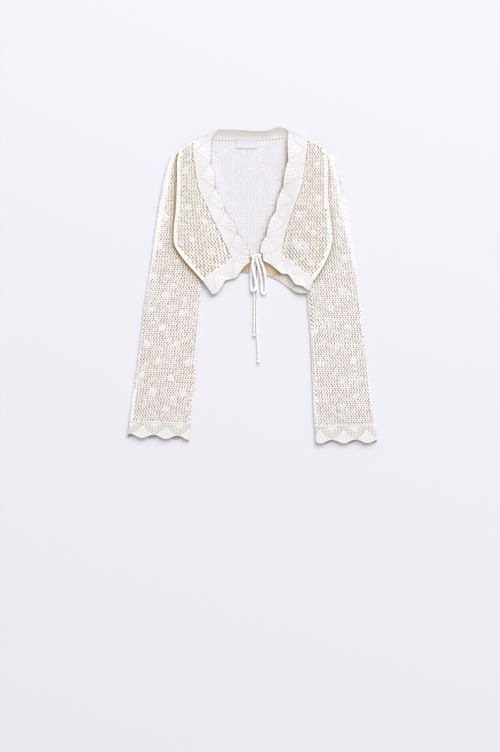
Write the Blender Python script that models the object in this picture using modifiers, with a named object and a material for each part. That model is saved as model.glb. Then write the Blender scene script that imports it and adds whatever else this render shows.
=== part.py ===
"""Crochet cropped cardigan, laid flat and tied in front with a bow.

Modelled in metres with +Z up. The garment lies on the plane z = 0 with its neck towards +Y,
and +X is to the right of someone who looks down at it. "left" and "right" in the names are
the wearer's, so sleeve_left lies on the +X side.
Every piece of cloth is a wall: an open lower surface with Solidify on it.
"""

import math
from collections import namedtuple

import bpy
import bmesh
import numpy as np
from mathutils import Vector

MM = 0.001
GARMENT = "crochet_cropped_cardigan"

# Middle of the garment without its tie, in the tables' coordinates, mm
FRAME_ORIGIN = (-0.6, -0.1, 0.0)

# Walls and clearances, mm
NET_WALL = 1.6
BAND_WALL = 2.0
LABEL_WALL = 0.8
SEAM_GAP = 0.45
LAY_GAP = 0.3
FRONT_LAYER = 2.5
SLEEVE_DEPTH = 5.2
CUFF_DEPTH = 7.4
SLEEVE_PUFF = 1.6
FRONT_PUFF = 1.5
RAMP_START = 12.0
RAMP_LENGTH = 40.0
PUFF_TOP_Y = 0.0
PUFF_RISE = 90.0
PUFF_END = 40.0
CORNER_GAP = 0.3
CORNER_POWER = 8

# Edge pattern, mm
SCALLOP_REPEAT = 55.0
SCALLOP_DEPTH = 4.0
FAN_RELIEF = 0.6
FAN_STEEPNESS = 3.0
CUFF_SCALLOPS = 6
CUFF_SCALLOP_DEPTH = 4.0
CUFF_FAN_RELIEF = 0.3
CUFF_FAN_STEEPNESS = 4.0
CUFF_PHASE_RIGHT = 0.55
CUFF_PHASE_LEFT = 0.35
CUFF_HEIGHT_RIGHT = 31.0
CUFF_HEIGHT_LEFT = 34.0
NECKBAND_STAND = 8.0
NECKBAND_CURVE = 1.5

# Tie, mm
CORD_DIAMETER = 4.6
LOOP_POINT_SPACING = 6.5
TAIL_POINT_SPACING = 10.0
KNOT_CENTRE = (8.5, 62.5, 6.8)
KNOT_RADII = (6.0, 5.4, 4.5)
END_KNOT_RADII = (3.5, 3.9, 3.1)
KNOT_TURNS = 3
KNOT_GROOVE = 0.14
END_KNOT_TURNS = 2
END_KNOT_GROOVE = 0.12
TURN_SLANT = 2.0

# Mesh counts
SEAM_STEPS = 36
FRONT_STEPS_ACROSS = 7
BACK_STEPS_ACROSS = 26
BACK_STEPS_DOWN = 18
BAND_STEPS_ACROSS = 5
HEM_STEPS_ALONG = 24
HEM_STEPS_ACROSS = 4
NECKBAND_STEPS_ALONG = 20
NECKBAND_STEPS_ACROSS = 4
SLEEVE_STATIONS = 22
SLEEVE_FACE_STEPS = 7
CUFF_STATIONS = 3
CUFF_FACE_STEPS = 20
ROUND_STEPS = 4
KNOT_SEGMENTS = 16
KNOT_RINGS = 10
END_KNOT_SEGMENTS = 12
END_KNOT_RINGS = 8

# One row for each section of a sleeve, from the shoulder to the cuff seam, mm.
# outer and inner are the two fold edges of the flattened tube.
SleeveRow = namedtuple("SleeveRow", "outer_x outer_y inner_x inner_y")
SLEEVE_RIGHT = (
    SleeveRow(-180.0, 285.0, -148.0, 298.0),
    SleeveRow(-190.0, 258.0, -124.0, 262.0),
    SleeveRow(-201.0, 210.0, -113.0, 211.0),
    SleeveRow(-210.0, 155.0, -107.0, 155.0),
    SleeveRow(-219.0, 89.0, -106.0, 88.0),
    SleeveRow(-228.0, 23.0, -111.0, 21.0),
    SleeveRow(-237.0, -32.0, -114.0, -35.0),
    SleeveRow(-246.0, -109.0, -119.0, -113.0),
    SleeveRow(-257.0, -197.0, -125.0, -202.0),
    SleeveRow(-268.0, -272.0, -133.0, -278.0),
    SleeveRow(-271.5, -298.5, -135.0, -304.0),
)
SLEEVE_LEFT = (
    SleeveRow(177.0, 281.0, 149.0, 299.0),
    SleeveRow(188.0, 257.0, 124.0, 262.0),
    SleeveRow(200.0, 210.0, 114.0, 211.0),
    SleeveRow(210.0, 155.0, 110.0, 155.0),
    SleeveRow(221.0, 89.0, 111.0, 88.0),
    SleeveRow(230.0, 23.0, 117.0, 22.0),
    SleeveRow(237.5, -32.0, 121.0, -33.0),
    SleeveRow(246.0, -109.0, 127.0, -110.0),
    SleeveRow(256.0, -197.0, 131.0, -198.0),
    SleeveRow(266.0, -274.0, 134.0, -275.0),
    SleeveRow(270.5, -308.0, 136.0, -309.0),
)

# Side edges of the body, where the fronts and the back meet, from the shoulder to the hem, mm.
EdgeRow = namedtuple("EdgeRow", "x y")
SIDE_RIGHT = (
    EdgeRow(-160.0, 297.0),
    EdgeRow(-164.5, 275.0),
    EdgeRow(-165.0, 240.0),
    EdgeRow(-166.0, 205.0),
    EdgeRow(-168.0, 162.0),
    EdgeRow(-172.0, 125.0),
    EdgeRow(-170.0, 87.0),
    EdgeRow(-157.0, 66.0),
    EdgeRow(-142.0, 47.0),
    EdgeRow(-125.0, 28.0),
    EdgeRow(-109.0, 10.0),
)
SIDE_LEFT = (
    EdgeRow(160.0, 300.0),
    EdgeRow(164.5, 277.0),
    EdgeRow(164.5, 243.0),
    EdgeRow(165.0, 208.0),
    EdgeRow(168.0, 166.0),
    EdgeRow(173.0, 122.0),
    EdgeRow(174.0, 94.0),
    EdgeRow(168.5, 74.0),
    EdgeRow(160.0, 52.0),
    EdgeRow(148.0, 31.0),
    EdgeRow(135.0, 12.0),
)

# Top edge of the back, from the right shoulder over the neck to the left shoulder, mm.
BACK_TOP = (
    EdgeRow(-160.0, 297.0),
    EdgeRow(-142.0, 308.5),
    EdgeRow(-127.0, 316.5),
    EdgeRow(-110.0, 318.5),
    EdgeRow(-96.0, 317.6),
    EdgeRow(-67.0, 316.3),
    EdgeRow(-28.0, 315.5),
    EdgeRow(12.0, 316.0),
    EdgeRow(47.0, 318.8),
    EdgeRow(80.0, 321.6),
    EdgeRow(100.0, 322.0),
    EdgeRow(118.0, 320.5),
    EdgeRow(140.0, 311.5),
    EdgeRow(160.0, 300.0),
)

# Bands: seam is the edge sewn to the cloth, free is the scalloped edge, lift is how far the
# free edge stands above the layer below it, mm.
BandRow = namedtuple("BandRow", "seam_x seam_y free_x free_y lift")
FRONT_BAND_RIGHT = (
    BandRow(-127.0, 318.0, -75.0, 342.0, 5.5),
    BandRow(-128.5, 306.0, -91.0, 324.0, 3.0),
    BandRow(-128.5, 292.0, -94.5, 301.0, 1.5),
    BandRow(-125.5, 270.0, -94.5, 275.0, 1.0),
    BandRow(-121.0, 241.0, -89.5, 245.0, 0.5),
    BandRow(-115.0, 210.0, -83.5, 214.0, 0.5),
    BandRow(-103.0, 186.0, -73.0, 188.0, 0.5),
    BandRow(-91.0, 160.0, -61.5, 163.0, 0.5),
    BandRow(-77.0, 131.0, -46.0, 135.0, 0.5),
    BandRow(-63.0, 102.0, -30.5, 107.0, 0.5),
    BandRow(-52.0, 80.0, -17.0, 85.0, 0.5),
    BandRow(-42.0, 59.3, -5.5, 60.3, 0.0),
)
FRONT_BAND_LEFT = (
    BandRow(118.0, 321.5, 79.5, 340.0, 5.5),
    BandRow(117.5, 307.0, 80.0, 321.0, 5.0),
    BandRow(116.0, 290.0, 81.0, 299.0, 5.0),
    BandRow(112.0, 268.0, 78.5, 276.0, 4.5),
    BandRow(108.5, 243.0, 75.0, 248.0, 3.5),
    BandRow(104.0, 216.0, 68.0, 220.0, 2.0),
    BandRow(96.0, 193.0, 60.5, 194.0, 1.0),
    BandRow(86.0, 166.0, 52.5, 167.0, 1.5),
    BandRow(77.0, 140.0, 42.0, 142.0, 2.0),
    BandRow(69.0, 113.0, 32.0, 114.0, 1.5),
    BandRow(63.0, 89.0, 23.5, 91.0, 0.5),
    BandRow(58.0, 68.9, 19.5, 71.0, 0.0),
)
HEM_FRONT_RIGHT = (
    BandRow(-109.0, 10.0, -87.0, -20.0, 0.0),
    BandRow(-101.0, 15.85, -76.0, -15.5, 0.5),
    BandRow(-92.0, 22.43, -67.0, -2.0, 1.5),
    BandRow(-82.0, 29.75, -60.0, 9.5, 1.0),
    BandRow(-70.0, 38.52, -47.0, 13.5, 0.5),
    BandRow(-56.0, 48.76, -36.0, 17.0, 0.5),
    BandRow(-42.0, 59.0, -27.5, 28.5, 0.5),
    BandRow(-24.0, 59.4, -16.5, 42.5, 0.5),
    BandRow(-7.0, 59.8, -5.0, 51.0, 0.0),
)
HEM_FRONT_LEFT = (
    BandRow(135.0, 12.0, 124.0, -13.0, 0.0),
    BandRow(124.0, 20.09, 108.0, -1.5, 3.5),
    BandRow(112.0, 28.91, 94.0, 2.0, 1.5),
    BandRow(102.0, 36.26, 86.0, 13.0, 3.5),
    BandRow(92.0, 43.61, 78.0, 24.0, 4.5),
    BandRow(80.0, 52.43, 67.0, 25.0, 2.5),
    BandRow(58.0, 68.6, 54.0, 33.5, 1.0),
    BandRow(40.0, 69.5, 41.0, 44.5, 0.5),
    BandRow(22.0, 70.4, 24.0, 54.0, 0.0),
)
HEM_BACK = (
    BandRow(-109.0, 10.0, -86.0, -16.0, 0.0),
    BandRow(-86.0, 23.0, -64.0, 3.5, 0.0),
    BandRow(-62.0, 37.0, -46.0, 18.0, 0.0),
    BandRow(-34.0, 51.0, -27.0, 28.5, 0.0),
    BandRow(0.0, 57.0, -3.0, 25.5, 0.0),
    BandRow(30.0, 54.0, 28.0, 22.0, 0.0),
    BandRow(58.0, 42.0, 55.0, 11.5, 0.0),
    BandRow(84.0, 27.0, 77.0, -3.0, 0.0),
    BandRow(110.0, 15.0, 98.0, -16.0, 0.0),
    BandRow(135.0, 12.0, 122.0, -18.0, 0.0),
)
NECKBAND_BACK = (
    BandRow(-95.5, 318.4, -73.5, 343.0, 0.0),
    BandRow(-67.0, 317.0, -47.0, 342.5, 0.0),
    BandRow(-28.0, 316.2, -20.0, 341.5, 0.0),
    BandRow(12.0, 316.7, 10.0, 339.5, 0.0),
    BandRow(34.0, 318.0, 34.0, 340.5, 0.0),
    BandRow(54.0, 319.8, 55.0, 347.8, 0.0),
    BandRow(68.0, 321.0, 70.0, 345.5, 0.0),
    BandRow(80.0, 322.1, 78.9, 339.6, 0.0),
)
# Rows of the blank label, from its sewn top edge over the neck seam to its free edge, mm
LabelRow = namedtuple("LabelRow", "y z")
LABEL_SPAN = (-36.0, 10.0)
LABEL_ROWS = (
    LabelRow(320.6, 3.2),
    LabelRow(316.4, 2.5),
    LabelRow(311.5, 2.0),
    LabelRow(301.0, 1.9),
)

# Routes of the tie's cords from the bow's knot, mm
RoutePoint = namedtuple("RoutePoint", "x y z")
TIE_ROUTES = {
    "tie_loop_right": (
        RoutePoint(2.5, 56.4, 9.8),
        RoutePoint(0.3, 47.0, 9.8),
        RoutePoint(1.8, 32.0, 9.6),
        RoutePoint(4.8, 18.0, 9.0),
        RoutePoint(7.2, 4.0, 7.9),
        RoutePoint(7.6, -4.5, 7.6),
        RoutePoint(4.8, -11.0, 7.7),
        RoutePoint(0.6, -12.4, 6.4),
        RoutePoint(-2.4, -7.0, 3.6),
        RoutePoint(-3.2, 2.0, 2.6),
        RoutePoint(-3.2, 12.0, 3.4),
        RoutePoint(-3.0, 21.0, 4.8),
        RoutePoint(-2.4, 32.0, 4.9),
        RoutePoint(-1.2, 45.0, 4.9),
        RoutePoint(0.8, 56.0, 5.2),
    ),
    "tie_loop_left": (
        RoutePoint(8.6, 56.4, 10.4),
        RoutePoint(12.0, 45.0, 10.2),
        RoutePoint(15.6, 30.0, 8.8),
        RoutePoint(18.2, 15.0, 5.4),
        RoutePoint(19.4, 2.0, 2.6),
        RoutePoint(19.8, -8.0, 2.5),
        RoutePoint(21.2, -16.0, 2.5),
        RoutePoint(24.6, -19.2, 2.5),
        RoutePoint(28.0, -15.6, 2.5),
        RoutePoint(29.2, -6.0, 2.5),
        RoutePoint(28.8, 8.0, 2.8),
        RoutePoint(27.2, 22.0, 4.8),
        RoutePoint(24.4, 36.0, 5.2),
        RoutePoint(20.2, 48.0, 6.4),
        RoutePoint(16.0, 56.4, 7.6),
    ),
    "tie_tail_short": (
        RoutePoint(6.4, 56.4, 4.9),
        RoutePoint(5.6, 45.0, 4.7),
        RoutePoint(4.9, 32.0, 4.7),
        RoutePoint(4.4, 21.0, 4.4),
        RoutePoint(4.2, 8.0, 2.5),
        RoutePoint(4.2, -10.0, 2.5),
        RoutePoint(4.3, -30.0, 2.5),
        RoutePoint(3.9, -60.0, 2.5),
        RoutePoint(3.6, -88.0, 2.5),
        RoutePoint(3.9, -104.6, 2.5),
    ),
    "tie_tail_long": (
        RoutePoint(11.6, 56.4, 4.9),
        RoutePoint(12.0, 45.0, 4.7),
        RoutePoint(11.8, 32.0, 4.7),
        RoutePoint(11.3, 21.0, 4.4),
        RoutePoint(11.0, 8.0, 2.5),
        RoutePoint(10.8, -5.0, 2.5),
        RoutePoint(10.2, -22.0, 2.5),
        RoutePoint(9.4, -45.0, 2.5),
        RoutePoint(9.2, -75.0, 2.5),
        RoutePoint(9.9, -105.0, 2.5),
        RoutePoint(11.2, -130.0, 2.5),
        RoutePoint(12.6, -150.0, 2.5),
        RoutePoint(12.8, -163.2, 2.5),
    ),
    "tie_lead_right": (
        RoutePoint(-4.7, 63.2, 4.2),
        RoutePoint(-1.5, 63.2, 5.4),
        RoutePoint(2.0, 62.9, 6.2),
    ),
    "tie_lead_left": (
        RoutePoint(18.6, 67.6, 4.6),
        RoutePoint(17.0, 66.3, 5.4),
        RoutePoint(14.9, 64.9, 6.2),
    ),
}
END_KNOTS = {
    "tie_end_short": (4.0, -108.9, 3.15),
    "tie_end_long": (12.9, -167.5, 3.15),
}

YARN = (0.86, 0.84, 0.77)
YARN_SHADE = (0.80, 0.77, 0.69)
LABEL_WHITE = (0.93, 0.94, 0.97)


def clear_scene():
    """Removes every object that the file starts with."""
    for obj in list(bpy.data.objects):
        bpy.data.objects.remove(obj, do_unlink=True)


def material(name, colour, roughness=0.85):
    """One Principled material for one piece."""
    finish = bpy.data.materials.new(name)
    finish.use_nodes = True
    shader = finish.node_tree.nodes["Principled BSDF"]
    shader.inputs["Base Color"].default_value = (*colour, 1.0)
    shader.inputs["Roughness"].default_value = roughness
    shader.inputs["Metallic"].default_value = 0.0
    return finish


def in_metres(points):
    """Points of the tables in the part's frame."""
    return (points - np.array(FRAME_ORIGIN)) * MM


def smooth_values(knots, values, places):
    """Cubic Hermite interpolation, with each knot's slope from its two neighbours."""
    values = np.asarray(values, dtype=float)
    slopes = np.gradient(values, knots, axis=0)
    index = np.clip(np.searchsorted(knots, places, side="right") - 1, 0, len(knots) - 2)
    width = (knots[index + 1] - knots[index])[:, None]
    t = ((places - knots[index])[:, None]) / width
    start = (1.0 + 2.0 * t) * (1.0 - t) ** 2
    start_slope = t * (1.0 - t) ** 2 * width
    end = t * t * (3.0 - 2.0 * t)
    end_slope = t * t * (t - 1.0) * width
    return (
        start * values[index]
        + start_slope * slopes[index]
        + end * values[index + 1]
        + end_slope * slopes[index + 1]
    )


def along(rows, steps, straight_seam=False):
    """The rows' columns at equal steps of the length along their first two columns.

    straight_seam keeps those two columns on straight lines between the rows.
    """
    values = np.array(rows, dtype=float)
    lengths = np.linalg.norm(np.diff(values[:, :2], axis=0), axis=1)
    knots = np.concatenate([[0.0], np.cumsum(lengths)])
    places = np.linspace(0.0, knots[-1], steps + 1)
    line = smooth_values(knots, values, places)
    if straight_seam:
        line[:, 0] = np.interp(places, knots, values[:, 0])
        line[:, 1] = np.interp(places, knots, values[:, 1])
    return line, places


def sleeve_outline(rows):
    """The flat sleeve's outline as a closed loop of points."""
    line, _ = along(rows, SLEEVE_STATIONS)
    return np.concatenate([line[:, :2], line[::-1, 2:4]])


def distance_outside(points, outline):
    """How far each point lies outside a closed outline, 0 where it is inside."""
    start = outline
    end = np.roll(outline, -1, axis=0)
    edge = end - start
    offset = points[:, None, :] - start[None]
    share = np.clip((offset * edge).sum(-1) / (edge * edge).sum(-1), 0.0, 1.0)
    nearest = np.linalg.norm(offset - share[..., None] * edge, axis=-1).min(axis=1)
    y = points[:, None, 1]
    x = points[:, None, 0]
    crosses = (start[None, :, 1] > y) != (end[None, :, 1] > y)
    rise = np.where(edge[:, 1] == 0.0, 1.0, edge[:, 1])
    cut_x = start[None, :, 0] + (y - start[None, :, 1]) * edge[:, 0] / rise
    inside = (crosses & (x < cut_x)).sum(axis=1) % 2 == 1
    return np.where(inside, 0.0, nearest)


def height_over_sleeves(plan):
    """Height of the body's lowest layer: over a sleeve it is raised, and beside it it runs down."""
    flat = plan.reshape(-1, 2)
    distance = np.minimum(*(distance_outside(flat, sleeve_outline(rows))
                            for rows in (SLEEVE_RIGHT, SLEEVE_LEFT)))
    fall = np.clip((distance - RAMP_START) / RAMP_LENGTH, 0.0, 1.0)
    height = (SLEEVE_DEPTH + LAY_GAP) * (1.0 - fall * fall * (3.0 - 2.0 * fall))
    return height.reshape(plan.shape[:-1])


def coons(top, bottom, left, right):
    """Grid that fills four border curves; left and right run from top to bottom."""
    u = np.linspace(0.0, 1.0, len(top))[None, :, None]
    v = np.linspace(0.0, 1.0, len(left))[:, None, None]
    across = (1.0 - u) * left[:, None] + u * right[:, None]
    down = (1.0 - v) * top[None] + v * bottom[None]
    corners = (
        (1.0 - u) * (1.0 - v) * top[0]
        + u * (1.0 - v) * top[-1]
        + (1.0 - u) * v * bottom[0]
        + u * v * bottom[-1]
    )
    return across + down - corners


def raised(plan, heights):
    """Plan points with their heights as a third column."""
    return np.concatenate([plan, heights[..., None]], axis=-1)


def link_to_garment(obj, colour):
    """Puts an object in the garment's collection with a material of its own."""
    bpy.data.collections[GARMENT].objects.link(obj)
    obj.data.materials.append(material(obj.name, colour))


def grid_faces(rows, columns, closed=False):
    """Quads of a grid of points, closed round its columns on a tube."""
    faces = []
    last = columns if closed else columns - 1
    for row in range(rows - 1):
        for column in range(last):
            after = (column + 1) % columns
            this_row = row * columns
            next_row = this_row + columns
            faces.append((this_row + column, this_row + after, next_row + after, next_row + column))
    return faces


def wall(name, points, thickness, colour, closed=False):
    """A cloth wall: the grid of points is its plain side, and Solidify gives its thickness.

    An open sheet grows upwards from the grid. A tube grows inwards from it. thickness may
    be one number, or one for each grid point, which the vertex group then carries.
    """
    rows, columns = points.shape[:2]
    mesh = bpy.data.meshes.new(name)
    mesh.from_pydata(in_metres(points.reshape(-1, 3)).tolist(), [], grid_faces(rows, columns, closed))
    shape = bmesh.new()
    shape.from_mesh(mesh)
    shape.normal_update()
    if closed:
        centre = sum((v.co for v in shape.verts), Vector()) / len(shape.verts)
        facing = sum(f.normal.dot(f.calc_center_median() - centre) * f.calc_area() * abs(f.normal.z)
                     for f in shape.faces)
    else:
        facing = sum(f.normal.z * f.calc_area() for f in shape.faces)
    if facing < 0.0:
        bmesh.ops.reverse_faces(shape, faces=shape.faces)
    shape.to_mesh(mesh)
    shape.free()
    obj = bpy.data.objects.new(name, mesh)
    link_to_garment(obj, colour)
    depths = np.broadcast_to(np.asarray(thickness, dtype=float), (rows, columns)).reshape(-1)
    group = obj.vertex_groups.new(name="thickness")
    for index, depth in enumerate(depths):
        group.add([index], float(depth / depths.max()), "REPLACE")
    solidify = obj.modifiers.new("wall", "SOLIDIFY")
    solidify.thickness = float(depths.max()) * MM
    solidify.offset = -1.0 if closed else 1.0
    solidify.vertex_group = group.name
    solidify.use_rim = True
    mesh.shade_smooth()
    mesh.set_sharp_from_angle(angle=math.radians(50.0))
    return obj


def flat_ring(outer, inner, depth, puff, face_steps):
    """Ring of points round a flattened tube, with round fold edges.

    It starts at the outer fold, crosses the upper face, turns down round the inner fold and
    comes back along the floor.
    """
    radius = depth / 2.0
    across = inner - outer
    width = np.linalg.norm(across)
    across = across / width
    share = np.linspace(0.0, 1.0, face_steps + 1)
    reach = radius + share * (width - 2.0 * radius)
    turn = np.linspace(0.0, math.pi, ROUND_STEPS + 1)[1:-1]
    upper = np.stack([reach, depth + puff * np.sin(math.pi * share)], axis=1)
    bulge = radius * np.sin(turn)
    height = radius * np.cos(turn)
    inner_fold = np.stack([width - radius + bulge, radius + height], axis=1)
    lower = np.stack([reach[::-1], np.zeros(face_steps + 1)], axis=1)
    outer_fold = np.stack([radius - bulge, radius - height], axis=1)
    profile = np.concatenate([upper, inner_fold, lower, outer_fold])
    return np.stack([
        outer[0] + profile[:, 0] * across[0],
        outer[1] + profile[:, 0] * across[1],
        profile[:, 1],
    ], axis=1)


def sleeve(name, rows):
    """Net tube from the shoulder to the cuff seam, flattened under the body."""
    line, places = along(rows, SLEEVE_STATIONS)
    fullness = np.clip((PUFF_TOP_Y - line[:, 1]) / PUFF_RISE, 0.0, 1.0)
    fullness = fullness * np.clip((places[-1] - places) / PUFF_END, 0.0, 1.0)
    rings = [
        flat_ring(row[:2], row[2:4], SLEEVE_DEPTH, SLEEVE_PUFF * full, SLEEVE_FACE_STEPS)
        for row, full in zip(line, fullness)
    ]
    wall(name, np.array(rings), NET_WALL, YARN, closed=True)


def cuff(name, rows, height, phase):
    """Band tube below the sleeve, a little open at its scalloped end."""
    last = np.array(rows[-1])
    before = np.array(rows[-2])
    outer_way = (last[:2] - before[:2]) / np.linalg.norm(last[:2] - before[:2])
    inner_way = (last[2:4] - before[2:4]) / np.linalg.norm(last[2:4] - before[2:4])
    rings = []
    for step in range(CUFF_STATIONS + 1):
        share = step / CUFF_STATIONS
        reach = SEAM_GAP + height * share
        depth = SLEEVE_DEPTH + (CUFF_DEPTH - SLEEVE_DEPTH) * share
        outer = last[:2] + outer_way * reach
        inner = last[2:4] + inner_way * reach
        ring = flat_ring(outer, inner, depth, 0.0, CUFF_FACE_STEPS)
        turn = np.arange(len(ring)) / len(ring)
        wave = np.cos(2.0 * math.pi * (CUFF_SCALLOPS * turn - phase))
        way = (outer_way + inner_way) / 2.0
        ring[:, :2] += (CUFF_SCALLOP_DEPTH * share ** 2 * wave)[:, None] * way
        rings.append(ring)
    relief = cuff_relief(len(rings), len(rings[0]))
    wall(name, np.array(rings), BAND_WALL + relief, YARN_SHADE, closed=True)


def cuff_relief(stations, count):
    """Triangles round a cuff, raised on the side that carries the wall's thickness."""
    turn = np.arange(count) / count
    zigzag = np.abs((turn * CUFF_SCALLOPS) % 1.0 * 2.0 - 1.0)
    share = np.linspace(0.0, 1.0, stations)[:, None]
    return CUFF_FAN_RELIEF * np.clip((zigzag[None] - share) * CUFF_FAN_STEEPNESS + 0.5, 0.0, 1.0)


def fan_relief(places, shares):
    """Raised triangular fans along a band, one for each scallop."""
    zigzag = np.abs((places / SCALLOP_REPEAT) % 1.0 * 2.0 - 1.0)
    return FAN_RELIEF * np.clip((zigzag[:, None] - shares[None]) * FAN_STEEPNESS + 0.5, 0.0, 1.0)


def band_grid(rows, steps, steps_across, scallop, straight_seam=False):
    """Plan points, free edge lifts and places of a band between its seam and free edges."""
    line, places = along(rows, steps, straight_seam)
    seam = line[:, :2]
    free = line[:, 2:4]
    across = free - seam
    width = np.linalg.norm(across, axis=1, keepdims=True)
    way = across / width
    wave = np.abs(np.sin(math.pi * places / SCALLOP_REPEAT))[:, None]
    free = free + way * scallop * wave
    seam = seam + way * SEAM_GAP
    share = np.linspace(0.0, 1.0, steps_across + 1)
    plan = seam[:, None] + share[None, :, None] * (free - seam)[:, None]
    lift = line[:, 4][:, None] * share[None] ** 2
    return plan, lift, places, share


def band(name, rows, steps, steps_across, layer, scallop, relief=FAN_RELIEF, straight_seam=False):
    """A band sewn along one edge of a panel, with a scalloped free edge and raised fans."""
    plan, lift, places, share = band_grid(rows, steps, steps_across, scallop, straight_seam)
    heights = height_over_sleeves(plan) + layer + lift
    fans = fan_relief(places, share) * (relief / FAN_RELIEF)
    wall(name, raised(plan, heights), BAND_WALL + fans, YARN_SHADE)


def neckband():
    """Band behind the neck, which stands up towards its top edge and shows its inner face."""
    plan, _, _, share = band_grid(NECKBAND_BACK, NECKBAND_STEPS_ALONG, NECKBAND_STEPS_ACROSS, 0.0)
    heights = np.broadcast_to(NECKBAND_STAND * share[None] ** NECKBAND_CURVE, plan.shape[:2])
    wall("neckband_back", raised(plan, heights), BAND_WALL, YARN_SHADE)


def front(name, side, band_rows, corner):
    """Net panel between the side edge, the shoulder, the front band and the hem.

    corner is how far its lower corner keeps back from the place where band and hem meet.
    """
    side_edge, _ = along(side, SEAM_STEPS)
    seam, _ = along(band_rows, SEAM_STEPS)
    seam_edge = seam[:, :2]
    share = np.linspace(0.0, 1.0, FRONT_STEPS_ACROSS + 1)[:, None]
    top = side_edge[0] + share * (seam_edge[0] - side_edge[0])
    bottom = side_edge[-1] + share * (seam_edge[-1] + corner - side_edge[-1])
    v = np.linspace(0.0, 1.0, SEAM_STEPS + 1)[:, None]
    seam_edge = seam_edge + v ** CORNER_POWER * corner
    plan = coons(top, bottom, side_edge, seam_edge)
    u = share[None, :, 0]
    puff = FRONT_PUFF * np.sin(math.pi * u) * np.sin(math.pi * v)
    heights = height_over_sleeves(plan) + FRONT_LAYER + puff
    wall(name, raised(plan, heights), NET_WALL, YARN)


def back():
    """Net panel of the whole back, flat on the floor and raised over the sleeves at its sides."""
    top, _ = along(BACK_TOP, BACK_STEPS_ACROSS)
    hem_seam, _ = along(HEM_BACK, BACK_STEPS_ACROSS)
    left, _ = along(SIDE_RIGHT, BACK_STEPS_DOWN)
    right, _ = along(SIDE_LEFT, BACK_STEPS_DOWN)
    plan = coons(top, hem_seam[:, :2], left, right)
    wall("back", raised(plan, height_over_sleeves(plan)), NET_WALL, YARN_SHADE)


def label():
    """Blank sewn label that hangs from the neck seam over the back panel."""
    rows = np.array(LABEL_ROWS)
    x, y = np.meshgrid(np.linspace(*LABEL_SPAN, 3), rows[:, 0])
    _, z = np.meshgrid(np.linspace(*LABEL_SPAN, 3), rows[:, 1])
    wall("label", np.stack([x, y, z], axis=-1), LABEL_WALL, LABEL_WHITE)


def cord(name, route, spacing):
    """Round cord along a smooth curve through its route."""
    values = np.array(route, dtype=float)
    lengths = np.linalg.norm(np.diff(values, axis=0), axis=1)
    knots = np.concatenate([[0.0], np.cumsum(lengths)])
    count = max(3, round(knots[-1] / spacing) + 1)
    points = in_metres(smooth_values(knots, values, np.linspace(0.0, knots[-1], count)))
    curve = bpy.data.curves.new(name, "CURVE")
    curve.dimensions = "3D"
    curve.bevel_depth = CORD_DIAMETER / 2.0 * MM
    curve.bevel_resolution = 2
    curve.use_fill_caps = True
    spline = curve.splines.new("POLY")
    spline.points.add(count - 1)
    for point, place in zip(spline.points, points):
        point.co = (*place, 1.0)
    link_to_garment(bpy.data.objects.new(name, curve), YARN)


def knot(name, centre, radii, turns, groove, segments, rings):
    """Knot as a rounded body, with its turns of cord as lobes that slant round it."""
    shape = bmesh.new()
    bmesh.ops.create_uvsphere(shape, u_segments=segments, v_segments=rings, radius=1.0)
    for vertex in shape.verts:
        direction = vertex.co.normalized()
        angle = math.atan2(direction.y, direction.x)
        slant = angle * turns + direction.z * TURN_SLANT
        swell = 1.0 - groove * (0.5 - 0.5 * math.cos(slant)) * (1.0 - direction.z ** 2)
        place = [c + r * d * swell for c, r, d in zip(centre, radii, direction)]
        vertex.co = in_metres(np.array(place))
    mesh = bpy.data.meshes.new(name)
    shape.to_mesh(mesh)
    shape.free()
    mesh.shade_smooth()
    link_to_garment(bpy.data.objects.new(name, mesh), YARN)


def tie():
    """Bow: a knot at the bands' lower ends, two loops and two tails with an end knot each."""
    for name, route in TIE_ROUTES.items():
        spacing = TAIL_POINT_SPACING if "tail" in name else LOOP_POINT_SPACING
        cord(name, route, spacing)
    knot("tie_knot", KNOT_CENTRE, KNOT_RADII, KNOT_TURNS, KNOT_GROOVE, KNOT_SEGMENTS, KNOT_RINGS)
    for name, centre in END_KNOTS.items():
        knot(name, centre, END_KNOT_RADII, END_KNOT_TURNS, END_KNOT_GROOVE,
             END_KNOT_SEGMENTS, END_KNOT_RINGS)


def main():
    clear_scene()
    bpy.context.scene.collection.children.link(bpy.data.collections.new(GARMENT))
    sleeve("sleeve_right", SLEEVE_RIGHT)
    sleeve("sleeve_left", SLEEVE_LEFT)
    cuff("cuff_right", SLEEVE_RIGHT, CUFF_HEIGHT_RIGHT, CUFF_PHASE_RIGHT)
    cuff("cuff_left", SLEEVE_LEFT, CUFF_HEIGHT_LEFT, CUFF_PHASE_LEFT)
    back()
    front("front_right", SIDE_RIGHT, FRONT_BAND_RIGHT, np.array([-CORNER_GAP, 0.0]))
    front("front_left", SIDE_LEFT, FRONT_BAND_LEFT, np.array([CORNER_GAP, 0.0]))
    band("hem_back", HEM_BACK, BACK_STEPS_ACROSS, HEM_STEPS_ACROSS, 0.0, 0.0, relief=0.0)
    for name, rows in (("hem_front_right", HEM_FRONT_RIGHT), ("hem_front_left", HEM_FRONT_LEFT)):
        band(name, rows, HEM_STEPS_ALONG, HEM_STEPS_ACROSS, FRONT_LAYER, 0.0, straight_seam=True)
    for name, rows in (("front_band_right", FRONT_BAND_RIGHT), ("front_band_left", FRONT_BAND_LEFT)):
        band(name, rows, SEAM_STEPS, BAND_STEPS_ACROSS, FRONT_LAYER, SCALLOP_DEPTH)
    neckband()
    label()
    tie()


main()
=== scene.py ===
import math
from collections import namedtuple

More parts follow.
